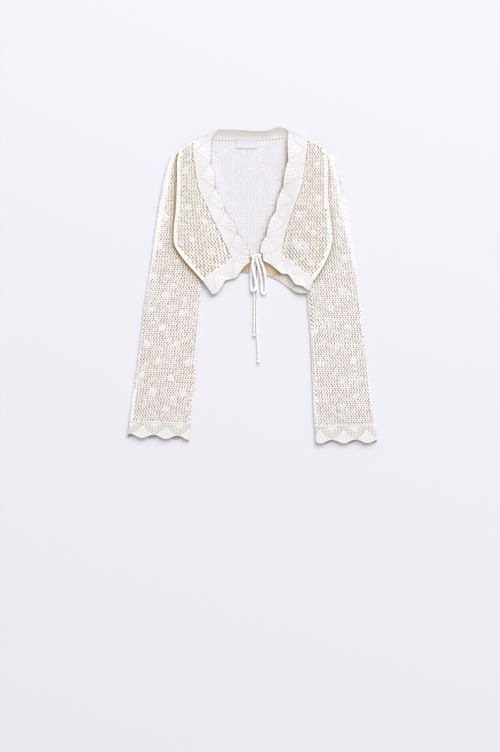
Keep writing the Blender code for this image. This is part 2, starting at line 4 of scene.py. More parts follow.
import bpy
import numpy as np
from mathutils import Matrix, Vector


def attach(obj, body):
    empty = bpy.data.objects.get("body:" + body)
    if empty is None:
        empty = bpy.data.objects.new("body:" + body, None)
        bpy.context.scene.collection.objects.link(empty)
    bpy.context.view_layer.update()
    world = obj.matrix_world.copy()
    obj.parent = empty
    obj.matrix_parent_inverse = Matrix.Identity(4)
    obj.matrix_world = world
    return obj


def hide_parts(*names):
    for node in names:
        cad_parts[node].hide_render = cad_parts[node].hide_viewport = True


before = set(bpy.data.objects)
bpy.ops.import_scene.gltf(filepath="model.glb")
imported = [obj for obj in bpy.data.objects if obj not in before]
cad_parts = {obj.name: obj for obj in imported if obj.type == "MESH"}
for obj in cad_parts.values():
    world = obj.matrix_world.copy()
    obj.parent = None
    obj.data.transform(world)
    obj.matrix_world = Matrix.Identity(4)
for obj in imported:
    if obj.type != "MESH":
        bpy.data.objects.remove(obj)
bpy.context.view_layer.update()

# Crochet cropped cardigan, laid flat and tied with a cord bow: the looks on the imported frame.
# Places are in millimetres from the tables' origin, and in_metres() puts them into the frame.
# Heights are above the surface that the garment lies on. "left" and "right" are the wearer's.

MM = 0.001
FRAME_ORIGIN = np.array((-0.6, -0.1, 0.0))

# Walls and clearances, mm
NET_WALL = 1.6
BAND_WALL = 2.0
LABEL_WALL = 0.8
SEAM_GAP = 0.45
LAY_GAP = 0.3
FRONT_LAYER = 2.5
SLEEVE_DEPTH = 5.2
CUFF_DEPTH = 7.4
SLEEVE_PUFF = 1.6
FRONT_PUFF = 1.5
PUFF_EDGE = 32.0
RAMP_START = 12.0
RAMP_LENGTH = 40.0
PUFF_RISE = 90.0
PUFF_END = 40.0
NECKBAND_STAND = 8.0
NECKBAND_CURVE = 1.5

# Edge pattern, mm
SCALLOP_REPEAT = 55.0
SCALLOP_DEPTH = 4.0
CUFF_SCALLOPS = 6
CUFF_SCALLOP_DEPTH = 4.0
CUFF_HEIGHT = {"right": 31.0, "left": 34.0}
CUFF_PHASE = {"right": 0.55, "left": 0.35}

# Frame of the photo on the surface, mm
PHOTO_CENTRE = (-5.5, -199.1)
PHOTO_HEIGHT = 1654.4
CAMERA_DISTANCE = 5000.0
SENSOR = 36.0

# Tie, mm
CORD_DIAMETER = 4.6
KNOT_CENTRE = np.array((8.5, 62.5, 6.8))

Stitch = namedtuple("Stitch", "pitch row sway hole_width hole_height slant")
Patch = namedtuple("Patch", "points quads triangles shade pattern")

# Open net, mm: pitch across and row height, how far every other row sways sideways, and the
# hole with its slant
SLEEVE_STITCHES = {
    "right": Stitch(6.0, 4.75, 2.4, 0.7, 3.6, -0.9),
    "left": Stitch(6.0, 4.75, 2.4, 0.95, 3.6, -0.9),
}
FRONT_STITCHES = {
    "right": Stitch(6.2, 4.4, 2.2, 0.8, 3.4, -1.1),
    "left": Stitch(6.2, 4.4, 2.4, 0.9, 3.4, -0.9),
}
BACK_STITCH = Stitch(7.0, 4.0, 3.0, 0.8, 2.0, 0.4)

# Sleeves from the shoulder down, mm: x and y of the outer fold, then of the inner fold
SLEEVES = {
    "right": (
        (-180, 285, -148, 298), (-190, 258, -124, 262), (-201, 210, -113, 211),
        (-210, 155, -107, 155), (-219, 89, -106, 88), (-228, 23, -111, 21), (-237, -32, -114, -35),
        (-246, -109, -119, -113), (-257, -197, -125, -202), (-268, -272, -133, -278),
        (-271.5, -298.5, -135, -304),
    ),
    "left": (
        (177, 281, 149, 299), (188, 257, 124, 262), (200, 210, 114, 211), (210, 155, 110, 155),
        (221, 89, 111, 88), (230, 23, 117, 22), (237.5, -32, 121, -33), (246, -109, 127, -110),
        (256, -197, 131, -198), (266, -274, 134, -275), (270.5, -308, 136, -309),
    ),
}
# Side edges of the body from the shoulder down, mm: x and y
SIDES = {
    "right": (
        (-160, 297), (-164.5, 275), (-165, 240), (-166, 205), (-168, 162), (-172, 125), (-170, 87),
        (-157, 66), (-142, 47), (-125, 28), (-109, 10),
    ),
    "left": (
        (160, 300), (164.5, 277), (164.5, 243), (165, 208), (168, 166), (173, 122), (174, 94),
        (168.5, 74), (160, 52), (148, 31), (135, 12),
    ),
}
# Top edge of the back from the right sleeve to the left, mm: x and y
BACK_TOP = (
    (-160, 297), (-142, 308.5), (-127, 316.5), (-110, 318.5), (-96, 317.6), (-67, 316.3),
    (-28, 315.5), (12, 316), (47, 318.8), (80, 321.6), (100, 322), (118, 320.5), (140, 311.5),
    (160, 300),
)
# Bands, mm: x and y of the seam, x and y of the free edge, and how far that edge is lifted
FRONT_BANDS = {
    "right": (
        (-127, 318, -75, 342, 5.5), (-128.5, 306, -91, 324, 3), (-128.5, 292, -94.5, 301, 1.5),
        (-125.5, 270, -94.5, 275, 1), (-121, 241, -89.5, 245, 0.5), (-115, 210, -83.5, 214, 0.5),
        (-103, 186, -73, 188, 0.5), (-91, 160, -61.5, 163, 0.5), (-77, 131, -46, 135, 0.5),
        (-63, 102, -30.5, 107, 0.5), (-52, 80, -17, 85, 0.5), (-42, 59.3, -5.5, 60.3, 0),
    ),
    "left": (
        (118, 321.5, 79.5, 340, 5.5), (117.5, 307, 80, 321, 5), (116, 290, 81, 299, 5),
        (112, 268, 78.5, 276, 4.5), (108.5, 243, 75, 248, 3.5), (104, 216, 68, 220, 2),
        (96, 193, 60.5, 194, 1), (86, 166, 52.5, 167, 1.5), (77, 140, 42, 142, 2),
        (69, 113, 32, 114, 1.5), (63, 89, 23.5, 91, 0.5), (58, 68.9, 19.5, 71, 0),
    ),
}
FRONT_HEMS = {
    "right": (
        (-109, 10, -87, -20, 0), (-101, 15.85, -76, -15.5, 0.5), (-92, 22.43, -67, -2, 1.5),
        (-82, 29.75, -60, 9.5, 1), (-70, 38.52, -47, 13.5, 0.5), (-56, 48.76, -36, 17, 0.5),
        (-42, 59, -27.5, 28.5, 0.5), (-24, 59.4, -16.5, 42.5, 0.5), (-7, 59.8, -5, 51, 0),
    ),
    "left": (
        (135, 12, 124, -13, 0), (124, 20.09, 108, -1.5, 3.5), (112, 28.91, 94, 2, 1.5),
        (102, 36.26, 86, 13, 3.5), (92, 43.61, 78, 24, 4.5), (80, 52.43, 67, 25, 2.5),
        (58, 68.6, 54, 33.5, 1), (40, 69.5, 41, 44.5, 0.5), (22, 70.4, 24, 54, 0),
    ),
}
HEM_BACK = (
    (-109, 10, -86, -16, 0), (-86, 23, -64, 3.5, 0), (-62, 37, -46, 18, 0), (-34, 51, -27, 28.5, 0),
    (0, 57, -3, 25.5, 0), (30, 54, 28, 22, 0), (58, 42, 55, 11.5, 0), (84, 27, 77, -3, 0),
    (110, 15, 98, -16, 0), (135, 12, 122, -18, 0),
)
NECKBAND_BACK = (
    (-95.5, 318.4, -73.5, 343, 0), (-67, 317, -47, 342.5, 0), (-28, 316.2, -20, 341.5, 0),
    (12, 316.7, 10, 339.5, 0), (34, 318, 34, 340.5, 0), (54, 319.8, 55, 347.8, 0),
    (68, 321, 70, 345.5, 0), (80, 322.1, 78.9, 339.6, 0),
)
# Label, mm: its ends, and rows of y and height from the neck down
LABEL_SPAN = (-36, 10)
LABEL_ROWS = ((320.6, 3.2), (316.4, 2.5), (311.5, 2), (301, 1.9))
# Middle lines of the tie's cords, mm: x, y and height
TIE_ROUTES = {
    "tie_loop_right": (
        (2.5, 56.4, 9.8), (0.3, 47, 9.8), (1.8, 32, 9.6), (4.8, 18, 9), (7.2, 4, 7.9),
        (7.6, -4.5, 7.6), (4.8, -11, 7.7), (0.6, -12.4, 6.4), (-2.4, -7, 3.6), (-3.2, 2, 2.6),
        (-3.2, 12, 3.4), (-3, 21, 4.8), (-2.4, 32, 4.9), (-1.2, 45, 4.9), (0.8, 56, 5.2),
    ),
    "tie_loop_left": (
        (8.6, 56.4, 10.4), (12, 45, 10.2), (15.6, 30, 8.8), (18.2, 15, 5.4), (19.4, 2, 2.6),
        (19.8, -8, 2.5), (21.2, -16, 2.5), (24.6, -19.2, 2.5), (28, -15.6, 2.5), (29.2, -6, 2.5),
        (28.8, 8, 2.8), (27.2, 22, 4.8), (24.4, 36, 5.2), (20.2, 48, 6.4), (16, 56.4, 7.6),
    ),
    "tie_tail_short": (
        (6.4, 56.4, 4.9), (5.6, 45, 4.7), (4.9, 32, 4.7), (4.4, 21, 4.4), (4.2, 8, 2.5),
        (4.2, -10, 2.5), (4.3, -30, 2.5), (3.9, -60, 2.5), (3.6, -88, 2.5), (3.9, -104.6, 2.5),
    ),
    "tie_tail_long": (
        (11.6, 56.4, 4.9), (12, 45, 4.7), (11.8, 32, 4.7), (11.3, 21, 4.4), (11, 8, 2.5),
        (10.8, -5, 2.5), (10.2, -22, 2.5), (9.4, -45, 2.5), (9.2, -75, 2.5), (9.9, -105, 2.5),
        (11.2, -130, 2.5), (12.6, -150, 2.5), (12.8, -163.2, 2.5),
    ),
    "tie_lead_right": (
        (-4.7, 63.2, 4.2), (-1.5, 63.2, 5.4), (2, 62.9, 6.2),
    ),
    "tie_lead_left": (
        (18.6, 67.6, 4.6), (17, 66.3, 5.4), (14.9, 64.9, 6.2),
    ),
}
END_KNOTS = {
    "tie_end_short": (4, -108.9, 3.15),
    "tie_end_long": (12.9, -167.5, 3.15),
}
# Groups of closed stitches that show as pale dots in the net
DOT_RADIUS = 4.6
DOT_RIM = 3.4
SLEEVE_DOTS = {
    "right": (
        (-216.7, 18.7), (-190.3, -20.9), (-223.3, -51.7), (-155.1, -60.5), (-199.1, -93.5),
        (-232.1, -128.7), (-168.3, -128.7), (-207.9, -163.9), (-141.9, -170.5), (-243.1, -196.9),
        (-179.3, -203.5), (-221.1, -234.3), (-152.9, -238.7), (-190.3, -271.7), (-205, 88),
        (-193, 150),
    ),
    "left": (
        (199.1, -12.1), (172.7, -49.5), (210.1, -91.3), (137.5, -102.3), (185.9, -133.1),
        (221.1, -166.1), (150.7, -172.7), (196.9, -210.1), (227.7, -243.1), (196.9, -267.3),
        (203, 62), (190, 140),
    ),
}
FRONT_DOTS = {
    "right": (
        (-148.5, 249.7), (-141.9, 170.5), (-104.5, 139.7), (-133.1, 100.1), (-89.1, 73.7),
    ),
    "left": (
        (141.9, 265.1), (144.1, 190.3), (102.3, 155.1), (133.1, 115.5), (128.7, 49.5), (93, 92),
        (101, 84), (109, 92), (117, 84),
    ),
}
SEED = 41
UP = np.array((0.0, 0.0, 1.0))

# Steps along the outlines that are worked out from the tables
SLEEVE_STEPS = 22
EDGE_STEPS = 60
HEM_STEPS = 40


def in_metres(points):
    """Points of the tables in the frame: the tables' origin is moved, then mm become m."""
    return (np.asarray(points, dtype=float) - FRAME_ORIGIN) * MM


def linear(colour):
    """An sRGB hex colour as the linear red, green, blue and alpha that shaders take."""
    parts = np.array([int(colour[i:i + 2], 16) for i in (1, 3, 5)]) / 255.0
    curve = np.where(parts <= 0.04045, parts / 12.92, ((parts + 0.055) / 1.055) ** 2.4)
    return (*curve, 1.0)


def smoothstep(values):
    """3t^2 - 2t^3 with t held between 0 and 1."""
    t = np.clip(values, 0.0, 1.0)
    return t * t * (3.0 - 2.0 * t)


def between(start, end, share):
    """start at share 0, end at share 1 and a straight line from one to the other."""
    return start + (end - start) * share


def ripple(turns):
    """1 at each whole turn and 0 half-way between, by a cosine."""
    return 0.5 + 0.5 * np.cos(2.0 * math.pi * turns)


def bell(distance, width):
    """Soft line that fades to both sides: exp(-(distance / width)^2)."""
    return np.exp(-(distance / width) ** 2)


def unit(vectors):
    """Vectors brought to length 1."""
    return vectors / np.linalg.norm(vectors, axis=-1, keepdims=True)


def smooth_values(knots, values, places):
    """Cubic Hermite interpolation, with each knot's slope from its two neighbours."""
    values = np.asarray(values, dtype=float)
    slopes = np.gradient(values, knots, axis=0)
    index = np.clip(np.searchsorted(knots, places, side="right") - 1, 0, len(knots) - 2)
    width = (knots[index + 1] - knots[index])[:, None]
    t = ((places - knots[index])[:, None]) / width
    start = (1.0 + 2.0 * t) * (1.0 - t) ** 2
    start_slope = t * (1.0 - t) ** 2 * width
    end = t * t * (3.0 - 2.0 * t)
    end_slope = t * t * (t - 1.0) * width
    return (
        start * values[index]
        + start_slope * slopes[index]
        + end * values[index + 1]
        + end_slope * slopes[index + 1]
    )


def lengths_along(values):
    """Length from the first row of a table to each row."""
    steps = np.linalg.norm(np.diff(values, axis=0), axis=1)
    return np.concatenate([[0.0], np.cumsum(steps)])


def along(rows, steps, straight_seam=False):
    """The rows' columns at equal steps of the length along their first two columns."""
    values = np.array(rows, dtype=float)
    knots = lengths_along(values[:, :2])
    places = np.linspace(0.0, knots[-1], steps + 1)
    line = smooth_values(knots, values, places)
    if straight_seam:
        line[:, 0] = np.interp(places, knots, values[:, 0])
        line[:, 1] = np.interp(places, knots, values[:, 1])
    return line, places


def nearest(points, outline):
    """Distance to a closed outline, the nearest place on it, and whether a point is inside."""
    start = outline
    edge = np.roll(outline, -1, axis=0) - start
    offset = points[:, None, :] - start[None]
    share = np.clip((offset * edge).sum(-1) / (edge * edge).sum(-1), 0.0, 1.0)
    gap = offset - share[..., None] * edge
    distance = np.hypot(gap[..., 0], gap[..., 1])
    best = distance.argmin(axis=1)
    rows = np.arange(len(points))
    place = points - gap[rows, best]
    y = points[:, None, 1]
    crosses = (start[None, :, 1] > y) != (np.roll(start[:, 1], -1)[None] > y)
    rise = np.where(edge[:, 1] == 0.0, 1.0, edge[:, 1])
    cut_x = start[None, :, 0] + (y - start[None, :, 1]) * edge[:, 0] / rise
    inside = (crosses & (points[:, None, 0] < cut_x)).sum(axis=1) % 2 == 1
    return distance[rows, best], place, inside


def sleeve_outline(rows):
    """The flat sleeve's outline as a closed loop of points."""
    line, _ = along(rows, SLEEVE_STEPS)
    return np.concatenate([line[:, :2], line[::-1, 2:4]])


SLEEVE_OUTLINES = [sleeve_outline(rows) for rows in SLEEVES.values()]


def height_over_sleeves(plan):
    """Height of the body's lowest layer.

    It is the sleeve's depth over a sleeve, and falls by a smoothstep of the distance beside it.
    """
    flat = plan.reshape(-1, 2)
    away = []
    for outline in SLEEVE_OUTLINES:
        distance, _, inside = nearest(flat, outline)
        away.append(np.where(inside, 0.0, distance))
    fall = smoothstep((np.minimum(*away) - RAMP_START) / RAMP_LENGTH)
    return ((SLEEVE_DEPTH + LAY_GAP) * (1.0 - fall)).reshape(plan.shape[:-1])


def covered(outlines, reach):
    """How far a place lies under others: 1 inside an outline, exp(-distance / reach) beside it."""

    def share(places):
        flat = places.reshape(-1, 2)
        found = np.zeros(len(flat))
        for outline in outlines:
            distance, _, inside = nearest(flat, outline)
            found = np.maximum(found, np.where(inside, 1.0, np.exp(-distance / reach)))
        return found.reshape(places.shape[:-1])

    return share


def front_cover(side):
    """Outline of one front with its band and hem."""
    edge, _ = along(SIDES[side], EDGE_STEPS)
    band, _ = along(FRONT_BANDS[side], EDGE_STEPS)
    hem, _ = along(FRONT_HEMS[side], HEM_STEPS)
    return np.concatenate([edge, hem[:, 2:4], band[::-1, 2:4]])


def volume(points, quads, triangles):
    """Signed volume inside closed faces: the sum of a . (b x c) / 6 over their triangles."""
    corners = np.concatenate([quads[:, [0, 1, 2]], quads[:, [0, 2, 3]], triangles])
    a, b, c = (points[corners[:, k]] for k in range(3))
    return (a * np.cross(b, c)).sum() / 6.0


def patch(points, quads, triangles=None, shade=0.0, pattern=None):
    """A closed patch of surface with its faces turned outwards."""
    triangles = np.zeros((0, 3), dtype=int) if triangles is None else triangles
    middle = points - points.mean(axis=0)
    if volume(middle, quads, triangles) < 0.0:
        quads = quads[:, ::-1]
        triangles = triangles[:, ::-1]
    shade = np.broadcast_to(np.asarray(shade, dtype=float), len(points))
    pattern = points[:, :2] if pattern is None else pattern
    return Patch(points, quads, triangles, shade, pattern)


def piece(name, patches, finish, replaced, sharp=None):
    """One object at the origin from closed patches, riding on the body and replacing CAD nodes.

    Their shades, which are painted shade and on the label also its sewing, become its
    painted_shade_and_stitches attribute, and their patterns its UV map, in metres of flat
    cloth or cord.
    """
    shift = np.cumsum([0] + [len(p.points) for p in patches])
    points = np.concatenate([p.points for p in patches])
    quads = np.concatenate([p.quads + s for p, s in zip(patches, shift)])
    triangles = np.concatenate([p.triangles + s for p, s in zip(patches, shift)])
    shade = np.concatenate([p.shade for p in patches])
    pattern = np.concatenate([p.pattern for p in patches]) * MM
    corners = np.concatenate([quads.ravel(), triangles.ravel()])
    starts = np.concatenate([
        np.arange(len(quads)) * 4,
        len(quads) * 4 + np.arange(len(triangles)) * 3,
    ])
    mesh = bpy.data.meshes.new(name)
    mesh.vertices.add(len(points))
    mesh.vertices.foreach_set("co", in_metres(points).ravel())
    mesh.loops.add(len(corners))
    mesh.loops.foreach_set("vertex_index", corners.astype(np.int32))
    mesh.polygons.add(len(starts))
    mesh.polygons.foreach_set("loop_start", starts.astype(np.int32))
    mesh.update(calc_edges=True)
    mesh.validate()
    depth = mesh.attributes.new("painted_shade_and_stitches", "FLOAT", "POINT")
    depth.data.foreach_set("value", shade.astype(np.float32))
    cloth_map = mesh.uv_layers.new(name="cloth")
    cloth_map.data.foreach_set("uv", pattern[corners].astype(np.float32).ravel())
    mesh.shade_smooth()
    if sharp is not None:
        mesh.set_sharp_from_angle(angle=math.radians(sharp))
    mesh.materials.append(finish)
    obj = bpy.data.objects.new(name, mesh)
    bpy.context.scene.collection.objects.link(obj)
    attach(obj, "root")
    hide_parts(*replaced)
    return obj


def grid_quads(rows, columns, closed=False):
    """Quads of a grid of points, closed round its columns on a tube."""
    row = np.arange(rows - 1)[:, None] * columns
    column = np.arange(columns if closed else columns - 1)[None]
    after = (column + 1) % columns
    return np.stack([
        row + column, row + after, row + columns + after, row + columns + column,
    ], axis=-1).reshape(-1, 4)


def slab(top, bottom, shade_top, shade_bottom, pattern, closed=False):
    """Wall between two grids of points, with quads along its free edges.

    closed joins the last column to the first, as round a cuff.
    """
    rows, columns = top.shape[:2]
    count = rows * columns
    faces = grid_quads(rows, columns, closed)
    index = np.arange(count).reshape(rows, columns)
    if closed:
        borders = [np.append(index[0], index[0, 0]), np.append(index[-1], index[-1, 0])[::-1]]
    else:
        borders = [np.concatenate([
            index[0], index[1:, -1], index[-1, -2::-1], index[-2::-1, 0],
        ])]
    rims = [np.stack([b[1:], b[:-1], b[:-1] + count, b[1:] + count], axis=1) for b in borders]
    quads = np.concatenate([faces, faces[:, ::-1] + count, *rims])
    points = np.concatenate([top.reshape(-1, 3), bottom.reshape(-1, 3)])
    shade = np.concatenate([
        np.broadcast_to(shade_top, (rows, columns)).ravel(),
        np.broadcast_to(shade_bottom, (rows, columns)).ravel(),
    ])
    flat = pattern.reshape(-1, 2)
    return patch(points, quads, shade=shade, pattern=np.concatenate([flat, flat]))


# Tips of an open sweep: reach over its half height, and painted shade
TIP_REACH = 0.6
TIP_SHADE = 0.3


def sweep(path, up, half_width, half_height, relief, shade=0.0, closed=False):
    """Rounded section carried along a path.

    A point is path + side * half_width * cos(a) + up * half_height * sin(a), times the relief
    of its station and side. Open ends shrink to a point.
    """
    stations, sides = relief.shape
    if closed:
        tangent = unit(np.roll(path, -1, axis=0) - np.roll(path, 1, axis=0))
    else:
        tangent = unit(np.gradient(path, axis=0))
    side = unit(np.cross(tangent, up))
    rise = np.cross(side, tangent)
    angle = np.arange(sides) / sides * 2.0 * math.pi
    across = np.reshape(half_width, (-1, 1)) * np.cos(angle) * relief
    high = np.reshape(half_height, (-1, 1)) * np.sin(angle) * relief
    ring = path[:, None] + side[:, None] * across[..., None] + rise[:, None] * high[..., None]
    points = ring.reshape(-1, 3)
    around = angle[None] * 2.0
    pattern = np.stack(np.broadcast_arrays(lengths_along(path)[:, None], around), axis=-1)
    pattern = pattern.reshape(-1, 2)
    shade = np.broadcast_to(shade, (stations, sides)).ravel()
    quads = grid_quads(stations, sides, closed=True)
    first = np.arange(sides)
    last = first + (stations - 1) * sides
    if closed:
        join = np.stack([last, np.roll(last, -1), np.roll(first, -1), first], axis=1)
        return patch(points, np.concatenate([quads, join]), shade=shade, pattern=pattern)
    reach = TIP_REACH * np.mean(half_height)
    tips = np.stack([path[0] - tangent[0] * reach, path[-1] + tangent[-1] * reach])
    start = np.stack([np.roll(first, -1), first, np.full(sides, len(points))], axis=1)
    finish = np.stack([last, np.roll(last, -1), np.full(sides, len(points) + 1)], axis=1)
    return patch(
        np.concatenate([points, tips]), quads, np.concatenate([start, finish]),
        np.concatenate([shade, [TIP_SHADE, TIP_SHADE]]),
        np.concatenate([pattern, pattern[[0, -1]]]),
    )


# A cell's ring of nodes, and which way each half row sways
RING = ((-1, -1), (0, -1), (1, -1), (1, 0), (1, 1), (0, 1), (-1, 1), (-1, 0))
SWAY = (1.0, 1.0, -1.0, -1.0)
CORNER = math.sqrt(0.5)
# Unevenness in mm, how deep the rows lie in mm, and how near the outline a cell's middle may
# be, in rows
NODE_JITTER = 0.22
ROW_RELIEF = 0.4
CELL_MARGIN = 0.3
# Holes: size of each against the stitch's own, the range of all, and the share of a cell at most
HOLE_JITTER = 0.13
OWN_RANGE = (0.4, 1.2)
HOLE_RANGE = (0.45, 1.1)
HOLE_REACH = (0.62, 0.55)
# In a dot of closed stitches: hole size, depth, shade of its edge and shade of its yarn
DOT_HOLE = 0.9
DOT_HOLE_DEPTH = 0.6
DOT_HOLE_SHADE = 0.5
DOT_SHADE = 0.03
# Painted shades of a column, a row, a hole's edge and the inner side, what closed stitches
# and small holes keep of them, and the openness over which a hole's edge darkens
NET_SHADES = (0.15, 0.25, 0.88, 0.64)
SHUT_HOLE_SHADE = 0.17
SHUT_INNER_SHADE = 0.35
SMALL_HOLE_SHADE = 0.4
SHADE_START = 0.3
SHADE_SPAN = 0.6
NET_SHARP = 75.0


def net(stitch, outline, low, high, surface, closing, openness, random, warp=None,
        shades=NET_SHADES, dim=None, relief=1.0):
    """Knitted net as one closed mesh with a real hole in each cell.

    Nodes lie on a lattice whose rows sway to and fro, so its columns zigzag. A cell has a
    ring of 8 nodes above, 8 points round its hole at half depth, and the same ring below.
    Cells whose middle is inside the outline stay, and their outer nodes go onto it.
    surface(places, depth) puts places and depths in space. closing(places) is 1 where a
    group of closed stitches is and 0 away from it: it draws the hole to one size, and makes
    it shallower and paler. openness(places) scales the holes, and small ones are paler too.
    shades are the painted shade of a column, a row, a hole's edge and the inner side, and
    dim(places), more painted shade, is added to them. relief scales how deep rows and hole
    edges lie.
    """
    columns = math.ceil((high[0] - low[0]) / stitch.pitch)
    rows = math.ceil((high[1] - low[1]) / stitch.row)
    stride = 2 * rows + 1
    m, n = np.meshgrid(np.arange(2 * columns + 1), np.arange(stride), indexing="ij")
    x = low[0] + m * stitch.pitch / 2.0 + stitch.sway / 2.0 * np.array(SWAY)[n % 4]
    y = low[1] + n * stitch.row / 2.0
    nodes = np.stack([x, y], axis=-1).reshape(-1, 2)
    on_row = ((m % 2 == 1) & (n % 2 == 0)).ravel()
    nodes = nodes if warp is None else warp(nodes)
    i, j = np.meshgrid(np.arange(columns), np.arange(rows), indexing="ij")
    middle = ((2 * i + 1) * stride + 2 * j + 1).ravel()
    distance, _, inside = nearest(nodes[middle], outline)
    middle = middle[inside & (distance > CELL_MARGIN * stitch.row)]
    ring = middle[:, None] + np.array([dm * stride + dn for dm, dn in RING])
    used, ring = np.unique(ring, return_inverse=True)
    ring = ring.reshape(-1, 8)
    nodes = nodes[used]
    on_row = on_row[used]
    after = np.roll(ring, -1, axis=1)
    code = ring.astype(np.int64) * len(used) + after
    open_side = ~np.isin(code, after.astype(np.int64) * len(used) + ring)
    start, end = ring[open_side], after[open_side]
    edge_nodes = np.unique(np.concatenate([start, end]))
    nodes = nodes + random.normal(0.0, NODE_JITTER, nodes.shape)
    _, nodes[edge_nodes], _ = nearest(nodes[edge_nodes], outline)
    corners = nodes[ring]
    centre = corners[:, [3, 7]].mean(axis=1, keepdims=True)
    width = stitch.hole_width / stitch.pitch
    height = stitch.hole_height / stitch.row
    scale = np.array([
        (width * CORNER, height * CORNER) if dm and dn else (width, height) for dm, dn in RING
    ])
    slant = np.array([(stitch.slant * dn, 0.0) for _, dn in RING])
    shut = closing(centre[:, 0])
    wide = openness(centre[:, 0])
    own = np.clip(1.0 + random.normal(0.0, HOLE_JITTER, len(ring)), *OWN_RANGE)
    size = np.clip(between(wide * own, DOT_HOLE, shut), *HOLE_RANGE)[:, None, None]
    reach = np.array(HOLE_REACH) * (stitch.pitch, stitch.row)
    offset = np.clip(corners - centre, -reach, reach)
    holes = (centre + (offset * scale + slant) * size).reshape(-1, 2)
    node_shut = closing(nodes)
    sunk = np.where(on_row, ROW_RELIEF * relief, 0.0) * (1.0 - node_shut)
    hole_depth = np.repeat(NET_WALL / 2.0 * relief * between(1.0, DOT_HOLE_DEPTH, shut), 8)
    places = np.concatenate([nodes, holes, nodes])
    depth = np.concatenate([sunk, hole_depth, NET_WALL - sunk])
    hole_index = len(nodes) + np.arange(len(ring) * 8).reshape(-1, 8)
    hole_after = np.roll(hole_index, -1, axis=1)
    under = len(nodes) + len(holes)
    upper = np.stack([ring, after, hole_after, hole_index], axis=-1).reshape(-1, 4)
    lower = np.stack([ring + under, hole_index, hole_after, after + under], axis=-1).reshape(-1, 4)
    rim = np.stack([end, start, start + under, end + under], axis=1)
    column_shade, row_shade, hole_shade, inner_shade = shades
    node_wide = np.clip(openness(nodes), 0.0, 1.0)
    open_hole = smoothstep((wide - SHADE_START) / SHADE_SPAN)
    edge_shade = (
        hole_shade * between(SHUT_HOLE_SHADE, 1.0, open_hole)
        * between(1.0, DOT_HOLE_SHADE, shut) * between(SMALL_HOLE_SHADE, 1.0, own)
    )
    shade = np.concatenate([
        between(np.where(on_row, row_shade, column_shade), DOT_SHADE, node_shut),
        np.repeat(edge_shade, 8),
        inner_shade * between(SHUT_INNER_SHADE, 1.0, node_wide),
    ])
    shade = shade if dim is None else shade + dim(places)
    return patch(surface(places, depth), np.concatenate([upper, lower, rim]), shade=shade,
                 pattern=places)


def dots_at(dots):
    """How far the net is closed at a place: 1 in a dot, and a smoothstep down at its rim."""
    centres = np.array(dots, dtype=float)

    def closing(places):
        gap = places[:, None] - centres[None]
        distance = np.hypot(gap[..., 0], gap[..., 1]).min(axis=1)
        return smoothstep((DOT_RADIUS + DOT_RIM - distance) / DOT_RIM)

    return closing


def resampled(path, step):
    """The points of a path at equal steps of its length."""
    knots = lengths_along(path)
    places = np.linspace(0.0, knots[-1], max(3, round(knots[-1] / step) + 1))
    return np.stack([np.interp(places, knots, path[:, k]) for k in range(path.shape[1])], axis=1)


# Chain of closed stitches: stitch length in mm, sides of its section, its painted shade, and
# how far the section shrinks and darkens by painted shade between stitches
CHAIN_STITCH = 3.4
CHAIN_SIDES = 8
CHAIN_SHADE = 0.14
CHAIN_DIP = 0.14
CHAIN_DARK = 0.22


def chain(path, up, half_width, half_height, stitch=CHAIN_STITCH, shade=CHAIN_SHADE, closed=False):
    """Edge of closed stitches: a flat roll whose section swells at each stitch, by |sin|."""
    dip = 1.0 - np.abs(np.sin(math.pi * lengths_along(path) / stitch))
    relief = np.repeat(1.0 - CHAIN_DIP * dip[:, None], CHAIN_SIDES, axis=1)
    # Painted shade between the stitches
    dark = np.repeat(shade + CHAIN_DARK * dip[:, None], CHAIN_SIDES, axis=1)
    return sweep(path, up, half_width, half_height, relief, dark, closed)


def edge_chain(line, centre, surface, half_width, half_height, step, inset, depth,
               shade=CHAIN_SHADE):
    """Chain along a panel's edge, moved towards the centre by a share of its half width."""
    path = resampled(line, step)
    way = unit(np.gradient(path, axis=0))
    inward = np.stack([-way[:, 1], way[:, 0]], axis=1)
    inward *= np.sign(((centre - path) * inward).sum(axis=1).mean())
    path = path + inward * half_width * inset
    points = surface(path, np.full(len(path), depth))
    return chain(points, np.broadcast_to(UP, points.shape), half_width, half_height, shade=shade)


def add(tree, kind, links=None, **settings):
    """Adds a node: settings are its properties, links its inputs, as sockets or plain values."""
    node = tree.nodes.new(kind)
    for key, value in settings.items():
        setattr(node, key, value)
    for key, value in (links or {}).items():
        if isinstance(value, bpy.types.NodeSocket):
            tree.links.new(value, node.inputs[key])
        else:
            node.inputs[key].default_value = value
    return node


def new_finish(name):
    """An empty material with its node tree and shader."""
    finish = bpy.data.materials.new(name)
    finish.use_nodes = True
    return finish, finish.node_tree, finish.node_tree.nodes["Principled BSDF"]


def wave_scale(period):
    """Scale of a Wave texture whose bands are this many mm apart: 2 pi / 20 / period."""
    return math.pi / 10.0 / (period * MM)


# Yarn in stitches that are closed, and the painted shade of yarn deep under other cloth
PALE = "#C3BFC4"
PAINTED_SHADE_GOLD = "#B9A264"
# Shades at which the crest, flank and deep colours stand between those two; flank and deep
# are painted shade
YARN_STOPS = (0.14, 0.6, 0.85)
# Patches of slightly other tint, mm and shade, and the size of fibres, mm
TINT_SIZE = 14.0
TINT_RANGE = 0.035
FIBRE_SIZE = 0.35


